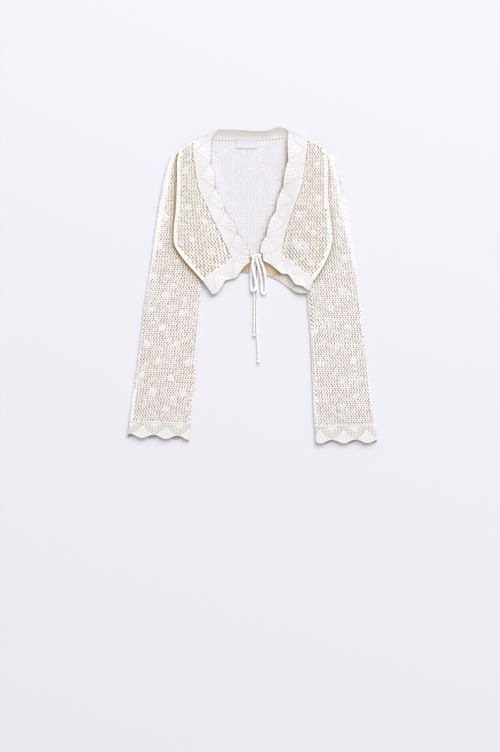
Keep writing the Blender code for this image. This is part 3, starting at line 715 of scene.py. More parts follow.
def yarn(name, crest, flank, deep, ply, twist, bump):
    """Mercerised cotton yarn, plied and knitted.

    The colour follows the shade attribute. The crests of the stitches are a clean cream, and
    the deep places a warm ecru, painted shade for light that bounces between yarns there.
    Closed stitches look lilac grey, and yarn far under other cloth takes a painted golden
    shade. ply is the slant spacing of the plies in mm, drawn about twice as coarse as real so
    that it shows, and fine fibres blur it. twist is the slant in degrees, and bump the height
    of the relief in mm.
    """
    finish, tree, shader = new_finish(name)
    place = add(tree, "ShaderNodeTexCoord").outputs["Object"]
    depth = add(tree, "ShaderNodeAttribute", attribute_name="painted_shade_and_stitches").outputs["Fac"]
    tint = add(tree, "ShaderNodeTexNoise", {
        "Vector": place, "Scale": 1.0 / (TINT_SIZE * MM), "Detail": 3.0,
    })
    uneven = add(tree, "ShaderNodeMapRange", {
        "Value": tint.outputs["Fac"], "From Min": 0.3, "From Max": 0.7,
        "To Min": -TINT_RANGE, "To Max": TINT_RANGE,
    })
    level = add(tree, "ShaderNodeMath", {0: depth, 1: uneven.outputs["Result"]}, operation="ADD")
    ramp = add(tree, "ShaderNodeValToRGB", {"Fac": level.outputs[0]})
    stops = ramp.color_ramp.elements
    stops[0].position, stops[0].color = 0.0, linear(PALE)
    stops[1].position, stops[1].color = 1.0, linear(PAINTED_SHADE_GOLD)
    for stop, colour in zip(YARN_STOPS, (crest, flank, deep)):
        stops.new(stop).color = linear(colour)
    tree.links.new(ramp.outputs["Color"], shader.inputs["Base Color"])
    slanted = add(tree, "ShaderNodeMapping", {
        "Vector": place, "Rotation": (0.0, 0.35, math.radians(twist)),
    })
    plies = add(tree, "ShaderNodeTexWave", {
        "Vector": slanted.outputs[0], "Scale": wave_scale(ply), "Distortion": 1.5, "Detail": 2.0,
        "Detail Scale": 1.5,
    })
    fibres = add(tree, "ShaderNodeTexNoise", {
        "Vector": place, "Scale": 1.0 / (FIBRE_SIZE * MM), "Detail": 4.0,
    })
    rough = add(tree, "ShaderNodeMath", {
        0: plies.outputs["Fac"], 1: fibres.outputs["Fac"],
    }, operation="ADD")
    relief = add(tree, "ShaderNodeBump", {
        "Height": rough.outputs[0], "Strength": 0.7, "Distance": bump * MM,
    })
    tree.links.new(relief.outputs["Normal"], shader.inputs["Normal"])
    shader.inputs["Roughness"].default_value = 0.78
    shader.inputs["Sheen Weight"].default_value = 0.12
    shader.inputs["Sheen Roughness"].default_value = 0.5
    return finish


# The colour sockets of a Mix node share their names with its number sockets, so they are
# reached by number: two inputs and the output
MIX_A, MIX_B, MIX_COLOUR = 6, 7, 2


def satin_tape():
    """Woven satin label tape: bluish white and smoother than the yarn, with fine cross ribs.

    The ribs are 0.7 mm apart, about twice as coarse as real so that they show. The stitches
    at its ends are a warm grey, and so is the line along its turned lower edge, which is
    partly its stitches and partly painted shadow.
    """
    finish, tree, shader = new_finish("woven_satin_tape")
    place = add(tree, "ShaderNodeTexCoord").outputs["Object"]
    weft = add(tree, "ShaderNodeTexWave", {
        "Vector": place, "Scale": wave_scale(0.7), "Distortion": 0.4,
    }, bands_direction="Y")
    mix = add(tree, "ShaderNodeMix", {
        "Factor": weft.outputs["Fac"], MIX_A: linear("#DCDCE4"), MIX_B: linear("#E6E6ED"),
    }, data_type="RGBA")
    # The attribute holds the sewing's warm grey and a painted shadow along the lower edge
    depth = add(tree, "ShaderNodeAttribute", attribute_name="painted_shade_and_stitches").outputs["Fac"]
    sewn = add(tree, "ShaderNodeMix", {
        "Factor": depth, MIX_A: mix.outputs[MIX_COLOUR], MIX_B: linear("#A08D74"),
    }, data_type="RGBA")
    tree.links.new(sewn.outputs[MIX_COLOUR], shader.inputs["Base Color"])
    relief = add(tree, "ShaderNodeBump", {
        "Height": weft.outputs["Fac"], "Strength": 0.5, "Distance": 0.1 * MM,
    })
    tree.links.new(relief.outputs["Normal"], shader.inputs["Normal"])
    shader.inputs["Roughness"].default_value = 0.5
    return finish


def paper_floor():
    """Matt seamless paper in a cool pale grey, with a faint tooth 2 mm across."""
    finish, tree, shader = new_finish("seamless_paper")
    place = add(tree, "ShaderNodeTexCoord").outputs["Object"]
    tooth = add(tree, "ShaderNodeTexNoise", {
        "Vector": place, "Scale": 1.0 / (2.0 * MM), "Detail": 2.0,
    })
    relief = add(tree, "ShaderNodeBump", {
        "Height": tooth.outputs["Fac"], "Strength": 0.1, "Distance": 0.05 * MM,
    })
    tree.links.new(relief.outputs["Normal"], shader.inputs["Normal"])
    shader.inputs["Base Color"].default_value = linear("#E6E5EB")
    shader.inputs["Roughness"].default_value = 0.9
    shader.inputs["Specular IOR Level"].default_value = 0.2
    return finish


def make_camera():
    """Camera straight above the photo's middle, far away, with the photo's height in its frame."""
    data = bpy.data.cameras.new("photo_camera")
    data.sensor_width = SENSOR
    data.lens = SENSOR * CAMERA_DISTANCE / PHOTO_HEIGHT
    data.clip_end = 50.0
    camera = bpy.data.objects.new("photo_camera", data)
    camera.location = in_metres((*PHOTO_CENTRE, CAMERA_DISTANCE))
    bpy.context.scene.collection.objects.link(camera)
    bpy.context.scene.camera = camera


# Key light and floor, m and W
LIGHT_SIZE = 9.0
LIGHT_POWER = 1350.0
LIGHT_PLACE = Vector((3.2, 8.6, 7.6))
LIGHT_AIM = Vector((0.0, -0.2, 0.0))
SURROUND_STRENGTH = 0.6
FLOOR_REACH = 8.0
FLOOR_HEIGHT = -0.0003


def make_light():
    """A broad soft key from the upper right, and an even pale surround."""
    data = bpy.data.lights.new("key", "AREA")
    data.shape = "SQUARE"
    data.size = LIGHT_SIZE
    data.energy = LIGHT_POWER
    light = bpy.data.objects.new("key", data)
    light.location = LIGHT_PLACE
    light.rotation_mode = "QUATERNION"
    light.rotation_quaternion = (LIGHT_AIM - LIGHT_PLACE).to_track_quat("-Z", "Y")
    bpy.context.scene.collection.objects.link(light)
    world = bpy.data.worlds.new("surround")
    world.use_nodes = True
    surround = world.node_tree.nodes["Background"]
    surround.inputs["Color"].default_value = (1.0, 1.0, 1.0, 1.0)
    surround.inputs["Strength"].default_value = SURROUND_STRENGTH
    bpy.context.scene.world = world
    bpy.context.scene.view_settings.view_transform = "Standard"


def make_floor():
    """Plain floor far past the frame's edges."""
    mesh = bpy.data.meshes.new("floor")
    signs = ((-1, -1), (1, -1), (1, 1), (-1, 1))
    corners = [(x * FLOOR_REACH, y * FLOOR_REACH, FLOOR_HEIGHT) for x, y in signs]
    mesh.from_pydata(corners, [], [(0, 1, 2, 3)])
    mesh.materials.append(paper_floor())
    floor = bpy.data.objects.new("floor", mesh)
    bpy.context.scene.collection.objects.link(floor)


def cord_path(route, step):
    """Smooth curve through a route's points, in steps of its length."""
    values = np.array(route, dtype=float)
    knots = lengths_along(values)
    count = max(4, round(knots[-1] / step) + 1)
    return smooth_values(knots, values, np.linspace(0.0, knots[-1], count))


# Knitted cord, mm: steps along it, the stitch's length, and how the section shrinks and
# darkens by painted shade between stitches. Half heights are shares of the diameter.
CORD_STEP = 0.8
CORD_SIDES = 20
CORD_COLUMNS = 4
CORD_STITCH = 2.8
CORD_DIP = 0.13
CORD_SHADE = 0.1
CORD_DARK = 0.25
CORD_HALF_HEIGHT = 0.46
CORD_FLATNESS = 0.68
LOOP_FLATNESS = 0.76
TAIL_FLATNESS = 0.52


def knitted_cord(path, diameter, closed=False, sides=CORD_SIDES, flatness=CORD_FLATNESS, up=UP):
    """Knitted cord along a path: four columns of V stitches round it.

    Across a column v runs 1-0-1. The height of a stitch is a cosine of length / stitch + v / 2,
    and it falls towards the column's edges. flatness is the half width over the diameter, and
    up is the way in which the section is flat.
    """
    length = lengths_along(path)[:, None]
    column = (np.arange(sides)[None] / sides * CORD_COLUMNS) % 1.0
    v = np.abs(2.0 * column - 1.0)
    dip = 1.0 - ripple(length / CORD_STITCH + 0.5 * v) * (1.0 - 0.5 * v ** 3)
    up = np.broadcast_to(up, path.shape)
    # The dips between stitches take painted shade
    return sweep(path, up, diameter * flatness, diameter * CORD_HALF_HEIGHT, 1.0 - CORD_DIP * dip,
                 CORD_SHADE + CORD_DARK * dip, closed)


# Painted shade added to the leads, which lie under the bow
LEAD_PAINTED_SHADE = 0.4
# The knot's turns of cord, mm: a turn that arches over the bow, and closed turns inside it,
# each with its offset, radii, turn round z and thickness
ARCH_THICK = 4.3
KNOT_ARCH = (
    (1.0, 52.5, 9.8), (1.2, 58.0, 10.2), (3.2, 63.4, 10.5), (8.0, 67.0, 10.6),
    (13.4, 64.6, 10.2), (16.6, 59.6, 9.2), (18.2, 53.0, 7.4),
)
KNOT_TURNS = (
    ((-1.7, -2.0, 0.2), (0.4, 3.0, 2.2), 0.10, 3.8),
    ((2.5, -2.2, 0.2), (0.4, 3.0, 2.2), -0.16, 3.8),
    ((0.0, 0.2, -1.2), (3.4, 2.4, 0.4), 0.0, 3.2),
)
# Overhand knots at the tails' ends, mm
END_RADII = (2.4, 2.7, 1.25)
END_THICK = 2.9
END_SIDES = 12


def ring_path(centre, radii, turn, count=72):
    """Closed loop of cord: x and y by a cosine and z by a sine, then turned round z."""
    angle = np.arange(count) / count * 2.0 * math.pi
    x, y, z = radii[0] * np.cos(angle), radii[1] * np.cos(angle), radii[2] * np.sin(angle)
    c, s = math.cos(turn), math.sin(turn)
    return centre + np.stack([x * c - y * s, x * s + y * c, z], axis=1)


def overhand(centre, radii, count=84):
    """Small overhand knot: a trefoil, sin t + 2 sin 2t, cos t - 2 cos 2t, -sin 3t."""
    t = np.arange(count) / count * 2.0 * math.pi
    shape = np.stack([
        (np.sin(t) + 2.0 * np.sin(2.0 * t)) / 3.0,
        (np.cos(t) - 2.0 * np.cos(2.0 * t)) / 3.0,
        -np.sin(3.0 * t),
    ], axis=1)
    return centre + shape * radii


def make_tie(finish):
    """Bow of knitted cord: two loops and two tails from a knot, with the leads from the bands."""
    for name in ("tie_lead_right", "tie_lead_left"):
        tube = knitted_cord(cord_path(TIE_ROUTES[name], CORD_STEP), CORD_DIAMETER)
        # The leads get painted shade, as they lie under the bow
        tube = tube._replace(shade=tube.shade + LEAD_PAINTED_SHADE)
        piece(name + "_cord", [tube], finish, [name])
    wraps = [knitted_cord(cord_path(KNOT_ARCH, CORD_STEP), ARCH_THICK)]
    for offset, radii, turn, thick in KNOT_TURNS:
        path = ring_path(KNOT_CENTRE + offset, radii, turn)
        wraps.append(knitted_cord(path, thick, True, up=path - path.mean(axis=0)))
    piece("tie_knot_turns", wraps, finish, ["tie_knot"])
    ends = {}
    for name, centre in END_KNOTS.items():
        turns = knitted_cord(overhand(np.array(centre), END_RADII), END_THICK, True, END_SIDES)
        ends[name] = piece(name + "_turns", [turns], finish, [name])
    plans = (
        ("tie_loop_right", "object", [], LOOP_FLATNESS),
        ("tie_loop_left", "object", [], LOOP_FLATNESS),
        ("tie_tail_short", "knot", [ends["tie_end_short"]], TAIL_FLATNESS),
        ("tie_tail_long", "knot", [ends["tie_end_long"]], TAIL_FLATNESS),
    )
    for name, far_end, with_pieces, flatness in plans:
        path = cord_path(TIE_ROUTES[name], CORD_STEP)
        tube = knitted_cord(path, CORD_DIAMETER, flatness=flatness)
        obj = piece(name + "_cord", [tube], finish, [name])
        line = in_metres(path)
        lengths_along(line)[-1]


class Sleeve:
    """The flattened tube of one sleeve as a surface of two places.

    The first place is the arc length round the tube from the middle of its upper face, with
    the inner fold on the plus side. The second is the length from the shoulder.
    """

    def __init__(self, rows):
        self.values = np.array(rows, dtype=float)
        self.knots = lengths_along(self.values[:, :2])
        self.length = self.knots[-1]
        self.radius = SLEEVE_DEPTH / 2.0

    def folds(self, places):
        """Plan of the outer and the inner fold at lengths from the shoulder."""
        line = smooth_values(self.knots, self.values, np.clip(places, 0.0, self.length))
        return line[:, :2], line[:, 2:4]

    def width(self, places):
        """Distance from fold to fold."""
        outer, inner = self.folds(places)
        return np.linalg.norm(inner - outer, axis=1)

    def round_length(self, places):
        """Length round the tube: two flat faces and two half circles."""
        return 2.0 * (self.width(places) - 2.0 * self.radius) + 2.0 * math.pi * self.radius

    def surface(self, places, depth):
        """Places and depths in space: flat faces joined by half circles at the two folds."""
        outer, inner = self.folds(places[:, 1])
        width = np.linalg.norm(inner - outer, axis=1)
        flat = width / 2.0 - self.radius
        side = np.where(places[:, 0] < 0.0, -1.0, 1.0)
        reach = np.abs(places[:, 0])
        turn = np.clip((reach - flat) / self.radius, 0.0, math.pi)
        under = np.maximum(reach - flat - math.pi * self.radius, 0.0)
        radius = self.radius - depth
        x = width / 2.0 + side * (np.minimum(reach, flat) + radius * np.sin(turn) - under)
        full = np.clip(-(outer + inner)[:, 1] / 2.0 / PUFF_RISE, 0.0, 1.0)
        full = full * np.clip((self.length - places[:, 1]) / PUFF_END, 0.0, 1.0)
        share = np.clip(x / width, 0.0, 1.0)
        puff = SLEEVE_PUFF * full * np.sin(math.pi * share) * (np.cos(turn) > 0.0)
        z = self.radius + radius * np.cos(turn) + puff
        plan = outer + unit(inner - outer) * x[:, None]
        return np.concatenate([plan, z[:, None]], axis=1)


# Seam strip of a sleeve, mm: half width, thickness, stitch, steps, how far the net reaches
# under it and its least height. On the right sleeve it drops to the lower face, and the drop
# fades out above the cuff.
SEAM_HALF = 2.4
SEAM_THICK = 0.85
SEAM_STITCH = 3.0
SEAM_STEP = 1.2
SEAM_OVERLAP = 1.2
SEAM_LEAST = 0.02
# Painted shade of the seam strip, deeper on the left sleeve, whose strip lies on a shaded fold
SEAM_SHADE = {"right": 0.15, "left": 0.4}
SEAM_DROP = {"right": 26.0, "left": 0.0}
DROP_START = 190.0
DROP_SPAN = 150.0
# Chains at a sleeve's two ends, mm: half width and half height
END_HALF = 1.3
SHOULDER_CHAIN = 0.8
CUFF_CHAIN = 0.9
END_POINTS = 220
# Net of the sleeves: relief, stations along it, and how far its lower face's dots lie from
# those above them, mm
SLEEVE_RELIEF = 0.75
SLEEVE_STATIONS = 90
LOWER_DOTS = 24.0
# Holes close towards a fold over these lengths, mm, to these shares of their size. They close
# more at the cuff on the seam's side (plain) and at the shoulder on the outer side (upper).
FOLD_EDGE = 0.5
FOLD_FADE = 6.0
FOLD_SHUT = 0.6
PLAIN_LENGTH = 130.0
PLAIN_EDGE = 5.0
PLAIN_SHUT = 0.2
UPPER_START = 120.0
UPPER_SPAN = 200.0
UPPER_EDGE = 5.0
UPPER_FADE = 8.0
UPPER_SHUT = 0.1
SHOULDER_EASE = {"right": 0.85, "left": 0.80}
SHOULDER_START = 60.0
SHOULDER_SPAN = 180.0
# Painted shade that the body's edge adds on the sleeve, its reach in mm, and how closed
# stitches turn grey
BODY_PAINTED_SHADE = {"right": 0.95, "left": 0.4}
BODY_PAINTED_SHADE_REACH = 6.0
CLOSED_GREY = 0.17
CLOSED_MOST = 0.6


def make_sleeve(side, finish, random):
    """Net tube with a seam strip along the fold that lies to the left in the photo."""
    sleeve = Sleeve(SLEEVES[side])
    seam_side = -1.0 if side == "right" else 1.0
    stations = np.linspace(0.0, sleeve.length, SLEEVE_STATIONS)
    width = sleeve.width(stations)
    round_length = sleeve.round_length(stations)
    fold = width / 2.0 - sleeve.radius + math.pi * sleeve.radius / 2.0
    drop = SEAM_DROP[side] * (1.0 - smoothstep((stations - sleeve.length + DROP_START) / DROP_SPAN))
    seam = seam_side * (fold + drop)
    near_seam = seam - seam_side * (SEAM_HALF - SEAM_OVERLAP)
    far_seam = seam - seam_side * (round_length - SEAM_HALF + SEAM_OVERLAP)
    outline = np.concatenate([
        np.stack([near_seam, stations], axis=1),
        np.stack([far_seam, stations], axis=1)[::-1],
    ])
    dots = dots_at(SLEEVE_DOTS[side])

    def plan(places):
        """Where places lie, seen from above."""
        return sleeve.surface(places, np.zeros(len(places)))[:, :2]

    def closing(places):
        """Dots on the upper face, and the same ones further up on the lower face."""
        above = np.abs(places[:, 0]) < sleeve.width(places[:, 1]) / 2.0
        shift = np.where(above, 0.0, LOWER_DOTS)[:, None] * np.array((0.0, 1.0))
        return dots(plan(places) + shift)

    def openness(places):
        """Holes close up towards the folds and the shoulder."""
        to_fold = np.abs(sleeve.width(places[:, 1]) / 2.0 - np.abs(places[:, 0]))
        to_cuff = sleeve.length - places[:, 1]
        plain = (places[:, 0] * seam_side > 0.0) * smoothstep(1.0 - to_cuff / PLAIN_LENGTH)
        upper = (places[:, 0] < 0.0) * (1.0 - smoothstep((places[:, 1] - UPPER_START) / UPPER_SPAN))
        edge = FOLD_EDGE + PLAIN_EDGE * plain + UPPER_EDGE * upper
        fold_ease = smoothstep((to_fold - edge) / (FOLD_FADE + UPPER_FADE * upper))
        at_fold = FOLD_SHUT - PLAIN_SHUT * plain - UPPER_SHUT * upper
        down = smoothstep((places[:, 1] - SHOULDER_START) / SHOULDER_SPAN)
        return between(at_fold, 1.0, fold_ease) * between(SHOULDER_EASE[side], 1.0, down)

    body = np.array(SIDES[side], dtype=float)
    body = np.concatenate([body, body[::-1] + (0.5, 0.0)])

    def dim(places):
        """Painted shade where the body overhangs the sleeve, and greyer where the net is closed."""
        distance, _, _ = nearest(plan(places), body)
        closed = np.clip(1.0 - openness(places), 0.0, CLOSED_MOST)
        return BODY_PAINTED_SHADE[side] * np.exp(-distance / BODY_PAINTED_SHADE_REACH) - CLOSED_GREY * closed

    stitch = SLEEVE_STITCHES[side]
    low = (math.floor(outline[:, 0].min() / stitch.pitch) * stitch.pitch, 0.0)
    high = (outline[:, 0].max() + stitch.pitch, sleeve.length)
    patches = [net(stitch, outline, low, high, sleeve.surface, closing, openness, random, dim=dim,
                   relief=SLEEVE_RELIEF)]

    def normals(places):
        """Ways out of the tube: its outer surface less the one 1 mm deeper."""
        outside = sleeve.surface(places, np.zeros(len(places)))
        return outside - sleeve.surface(places, np.ones(len(places)))

    strip = resampled(np.stack([seam, stations], axis=1), SEAM_STEP)
    strip_line = sleeve.surface(strip, np.full(len(strip), SEAM_THICK))
    roll = chain(strip_line, normals(strip), SEAM_HALF, SEAM_THICK, SEAM_STITCH, SEAM_SHADE[side])
    np.maximum(roll.points[:, 2], SEAM_LEAST, out=roll.points[:, 2])
    patches.append(roll)
    for end, depth in ((SHOULDER_CHAIN, SHOULDER_CHAIN), (sleeve.length - CUFF_CHAIN, CUFF_CHAIN)):
        turn = np.linspace(-0.5, 0.5, END_POINTS, endpoint=False)
        round_end = sleeve.round_length(np.array([end]))[0]
        ring = np.stack([turn * round_end, np.full(END_POINTS, end)], axis=1)
        line = sleeve.surface(ring, np.full(END_POINTS, depth))
        patches.append(chain(line, normals(ring), END_HALF, depth, closed=True))
    name = f"sleeve_{side}"
    obj = piece(name + "_net", patches, finish, [name], sharp=NET_SHARP)


# Cuffs: strengths of the slit lines, stations down the cuff, columns of a face and a fold,
# the parts of a turn that these take in the pattern, and painted shades outside and inside
CUFF_SLITS = (1.9, 1.6, 1.3)
CUFF_STATIONS = 34
CUFF_FACE = 108
CUFF_FOLD = 12
FACE_TURN = 20.0 / 48.0
FOLD_TURN = 4.0 / 48.0
CUFF_SHADE = 0.08
CUFF_INNER_SHADE = 0.75
BAND_SHARP = 70.0


def make_cuff(side, finish):
    """Ribbed band tube below a sleeve, with a scalloped mouth that stands a little open.

    Round the tube run the upper face, the inner fold, the lower face and the outer fold. Each
    station is moved down or up by a cosine of the turn, which makes the scallops.
    """
    last = np.array(SLEEVES[side][-1])
    before = np.array(SLEEVES[side][-2])
    outer_way = unit(last[:2] - before[:2])
    inner_way = unit(last[2:] - before[2:])
    way = (outer_way + inner_way) / 2.0
    height = CUFF_HEIGHT[side]
    share = np.linspace(0.0, 1.0, CUFF_STATIONS)[:, None]
    reach = SEAM_GAP + height * share
    outer = last[:2] + outer_way * reach
    inner = last[2:] + inner_way * reach
    depth = between(SLEEVE_DEPTH, CUFF_DEPTH, share)
    width = np.linalg.norm(inner - outer, axis=1, keepdims=True)
    across = unit(inner - outer)
    face_share = (np.arange(CUFF_FACE) + 0.5) / CUFF_FACE
    fold_share = (np.arange(CUFF_FOLD) + 0.5) / CUFF_FOLD
    turn = np.concatenate([face_share * FACE_TURN, FACE_TURN + fold_share * FOLD_TURN])
    turn = np.concatenate([turn, 0.5 + turn])
    wave = np.cos(2.0 * math.pi * (CUFF_SCALLOPS * turn - CUFF_PHASE[side]))
    slide = CUFF_SCALLOP_DEPTH * share ** 2 * wave[None]
    radius = depth / 2.0
    run = radius + face_share * (width - 2.0 * radius)
    grids = []
    for inset in (0.0, BAND_WALL):
        bulge = (radius - inset) * np.sin(math.pi * fold_share)
        rise = (radius - inset) * np.cos(math.pi * fold_share)
        x = np.concatenate([run, width - radius + bulge, run[:, ::-1], radius - bulge], axis=1)
        z = np.concatenate([
            depth - inset + 0.0 * run, radius + rise, inset + 0.0 * run, radius - rise,
        ], axis=1)
        plan = outer[:, None] + across[:, None] * x[..., None] + way * slide[..., None]
        grids.append(np.concatenate([plan, z[..., None]], axis=-1))
    around = turn * 2.0 * (width[0, 0] + SLEEVE_DEPTH / 2.0)
    repeat = around[-1] / CUFF_SCALLOPS
    shifted = around + repeat * (0.5 - CUFF_PHASE[side])
    relief, shade = fan_stitch(shifted[None], share, height, repeat, CUFF_SLITS)
    lift = (relief - BAND_RELIEF)[..., None]
    lift = np.where(grids[0][..., 2:] < 0.5, np.minimum(lift, 0.0), lift)
    top = grids[0] + unit(grids[0] - grids[1]) * lift
    pattern = np.stack(np.broadcast_arrays(around[None], share * height), axis=-1)
    name = f"cuff_{side}"
    # Painted shade outside, and deeper painted shade inside the cuff
    body = slab(top, grids[1], shade + CUFF_SHADE, CUFF_INNER_SHADE, pattern, closed=True)
    obj = piece(name + "_band", [body], finish, [name], sharp=BAND_SHARP)


# Ribbed fans, mm and shares: relief, spacings of ribs, slit lines and eyelets, and the
# zigzag's start and depth across the band
BAND_RELIEF = 0.6
RIB = 5.0
LINE_WIDTH = 0.75
SLIT_SPACING = 4.4
EYELET = 6.0
FAN_ANGLE = 0.27
ZIGZAG_START = 0.98
ZIGZAG_DEPTH = 0.84
# Level to which the fan's ribs fade, their strength, the rolls along both edges with their
# heights, how deep the slits cut, and the painted shades of crests, dips and cuts
FAN_LEVEL = 0.75
FAN_STRENGTH = 0.6
EDGE_ROLL = 2.4
EDGE_HEIGHT = 0.9
SEAM_HEIGHT = 0.8
SLIT_DEPTH = 0.85
FAN_SHADES = (0.14, 0.24, 0.58)


def fan_stitch(place, share, width, repeat, slits=(1.0, 0.35)):
    """Relief in mm and shade of the fan pattern, at a place along a band and a share across it.

    A zigzag of slits crosses the band once for each scallop: it meets the free edge at the
    notches and comes near the seam at the scallop's middle. slits are the strengths of the
    parallel lines on its seam side. Beyond it lies a fan of ribs that spread from the point,
    and on the seam side ribs run across the band.
    """
    place, share = np.broadcast_arrays(place, share)
    tooth = (place / repeat) % 1.0
    line = ZIGZAG_START - ZIGZAG_DEPTH * (1.0 - np.abs(2.0 * tooth - 1.0))
    slope = 2.0 * ZIGZAG_DEPTH * width / repeat
    distance = (share - line) * width / math.sqrt(1.0 + slope * slope)
    groove = sum(
        strength * bell(distance + k * SLIT_SPACING, LINE_WIDTH) for k, strength in enumerate(slits)
    )
    angle = np.arctan2((tooth - 0.5) * repeat, (share - 0.02) * width)
    spread = FAN_STRENGTH * smoothstep((share - 0.35) * 3.0)
    fan = between(FAN_LEVEL, ripple(angle / FAN_ANGLE), spread)
    height = np.where(distance > 0.0, fan, ripple(tooth * repeat / RIB))
    edge = smoothstep((share - 1.0) * width / EDGE_ROLL + 1.0)
    seam = smoothstep(1.0 - share * width / EDGE_ROLL)
    height = height * (1.0 - edge) * (1.0 - seam) + EDGE_HEIGHT * edge + SEAM_HEIGHT * seam
    cut = groove * between(0.4, 1.0, ripple(place / EYELET)) * (1.0 - edge)
    # Painted shade: darker in the ribs' dips, the slits and the eyelets
    crest_shade, dip_shade, cut_shade = FAN_SHADES
    shade = crest_shade + dip_shade * (1.0 - height) + cut_shade * cut
    height = height * (1.0 - SLIT_DEPTH * np.minimum(groove, 1.0) * (1.0 - edge))
    return BAND_RELIEF * height, np.clip(shade, 0.0, 1.0)


# Plain ribs behind the neck, mm: rib spacing, and the eyelets' place, width and spacing
PLAIN_RIB = 3.0
NECK_ROW = 2.2
NECK_ROW_WIDTH = 1.3
NECK_EYELET = 7.0
NECK_EDGE = 2.2


def plain_rib(place, share, width, repeat):
    """Relief and shade of plain ribs across a band, with a row of eyelets at its seam.

    It takes what fan_stitch takes, and the ribs don't follow the scallops' repeat.
    """
    place, share = np.broadcast_arrays(place, share)
    ribs = ripple(place / PLAIN_RIB)
    row = bell(share * width - NECK_ROW, NECK_ROW_WIDTH) * ripple(place / NECK_EYELET)
    edge = smoothstep((share - 1.0) * width / NECK_EDGE + 1.0)
    height = between(0.6 * ribs + 0.4, 1.0, edge) * (1.0 - row)
    # Painted shade: darker in the ribs' dips and the eyelets, and towards the top edge, which leans
    # away from the light
    shade = 0.2 + 0.16 * (1.0 - ribs) + 0.8 * row + 0.35 * share
    return BAND_RELIEF * height, np.clip(shade, 0.0, 1.0)


# Bands, mm: grid spacing along and across, overlap at the seam, and the thinner free edge
BAND_STEP = 1.05
BAND_COLUMN = 1.0
BAND_OVERLAP = 0.5
EDGE_THIN = 0.35
EDGE_THIN_WIDTH = 1.2
# Painted shade of a band's underside and rims
BAND_INNER_SHADE = 0.5


def make_band(name, rows, finish, layer, scallop, stitch=fan_stitch, straight=False, ruffle=0.6,
              dim=None, heights=None):
    """A band along a panel's edge: fine grid between its seam and its scalloped free edge.

    The free edge goes out by |sin| of the place over the scallops' repeat. ruffle is how far
    it waves up and down, and heights gives the underside's height where a band stands up.
    """
    _, places = along(rows, 2)
    line, places = along(rows, round(places[-1] / BAND_STEP), straight)
    seam, free = line[:, :2], line[:, 2:4]
    width = np.linalg.norm(free - seam, axis=1, keepdims=True)
    way = unit(free - seam)
    free = free + way * scallop * np.abs(np.sin(math.pi * places / SCALLOP_REPEAT))[:, None]
    seam = seam - way * BAND_OVERLAP
    share = np.linspace(0.0, 1.0, round(width.mean() / BAND_COLUMN) + 1)[None]
    plan = seam[:, None] + share[..., None] * (free - seam)[:, None]
    if heights is None:
        base = height_over_sleeves(plan) + layer + line[:, 4][:, None] * share ** 2
    else:
        base = heights(plan, share)
    base = base + 2.0 * ruffle * (1.0 - ripple(places / SCALLOP_REPEAT))[:, None] * share ** 2
    relief, shade = stitch(places[:, None], share, width.mean(), SCALLOP_REPEAT)
    thin = 1.0 - EDGE_THIN * smoothstep((share - 1.0) * width / EDGE_THIN_WIDTH + 1.0)
    top_height = base + BAND_WALL * thin - BAND_RELIEF + relief
    top = np.concatenate([plan, top_height[..., None]], axis=-1)
    bottom = np.concatenate([plan, base[..., None]], axis=-1)
    pattern = np.stack(np.broadcast_arrays(places[:, None], share * width), axis=-1)
    # dim adds painted shade, as where the back hem lies under the fronts
    shade = shade if dim is None else shade + dim(plan)
    body = slab(top, bottom, shade, BAND_INNER_SHADE, pattern)
    obj = piece(name + "_ribs", [body], finish, [name], sharp=BAND_SHARP)
    length = max(places[-1], lengths_along(free)[-1])


# Fronts, mm and shares: how the columns lean, the lattice's margin, the relief, how the holes
# open from the side edge inwards, and the chains along the edges
FRONT_LEAN = {"right": 0.2, "left": 0.14}
LEAN_PIVOT = 165.0
LEAN_REACH = 80.0
LEAN_MOST = 1.2
LEAN_RANGE = (-30.0, 200.0)
FRONT_MARGIN = (30.0, 4.0)
FRONT_RELIEF = 0.85
EDGE_OPEN = (0.42, 1.05)
EDGE_START = 3.0
EDGE_SPAN = 8.0
FRONT_CHAIN = {"half_height": 0.85, "step": 1.3, "inset": 0.4, "depth": 0.75}


def lean_warp(origin_x, toward, lean):
    """Columns lean more the further they lie from the side edge.

    x moves by lean * share * (pivot - y), where share grows with the distance from the edge.
    """

    def warp(nodes):
        share = np.clip((nodes[:, 0] - origin_x) * toward / LEAN_REACH, 0.0, LEAN_MOST)
        moved = nodes.copy()
        moved[:, 0] += toward * lean * share * np.clip(LEAN_PIVOT - nodes[:, 1], *LEAN_RANGE)
        return moved

    return warp


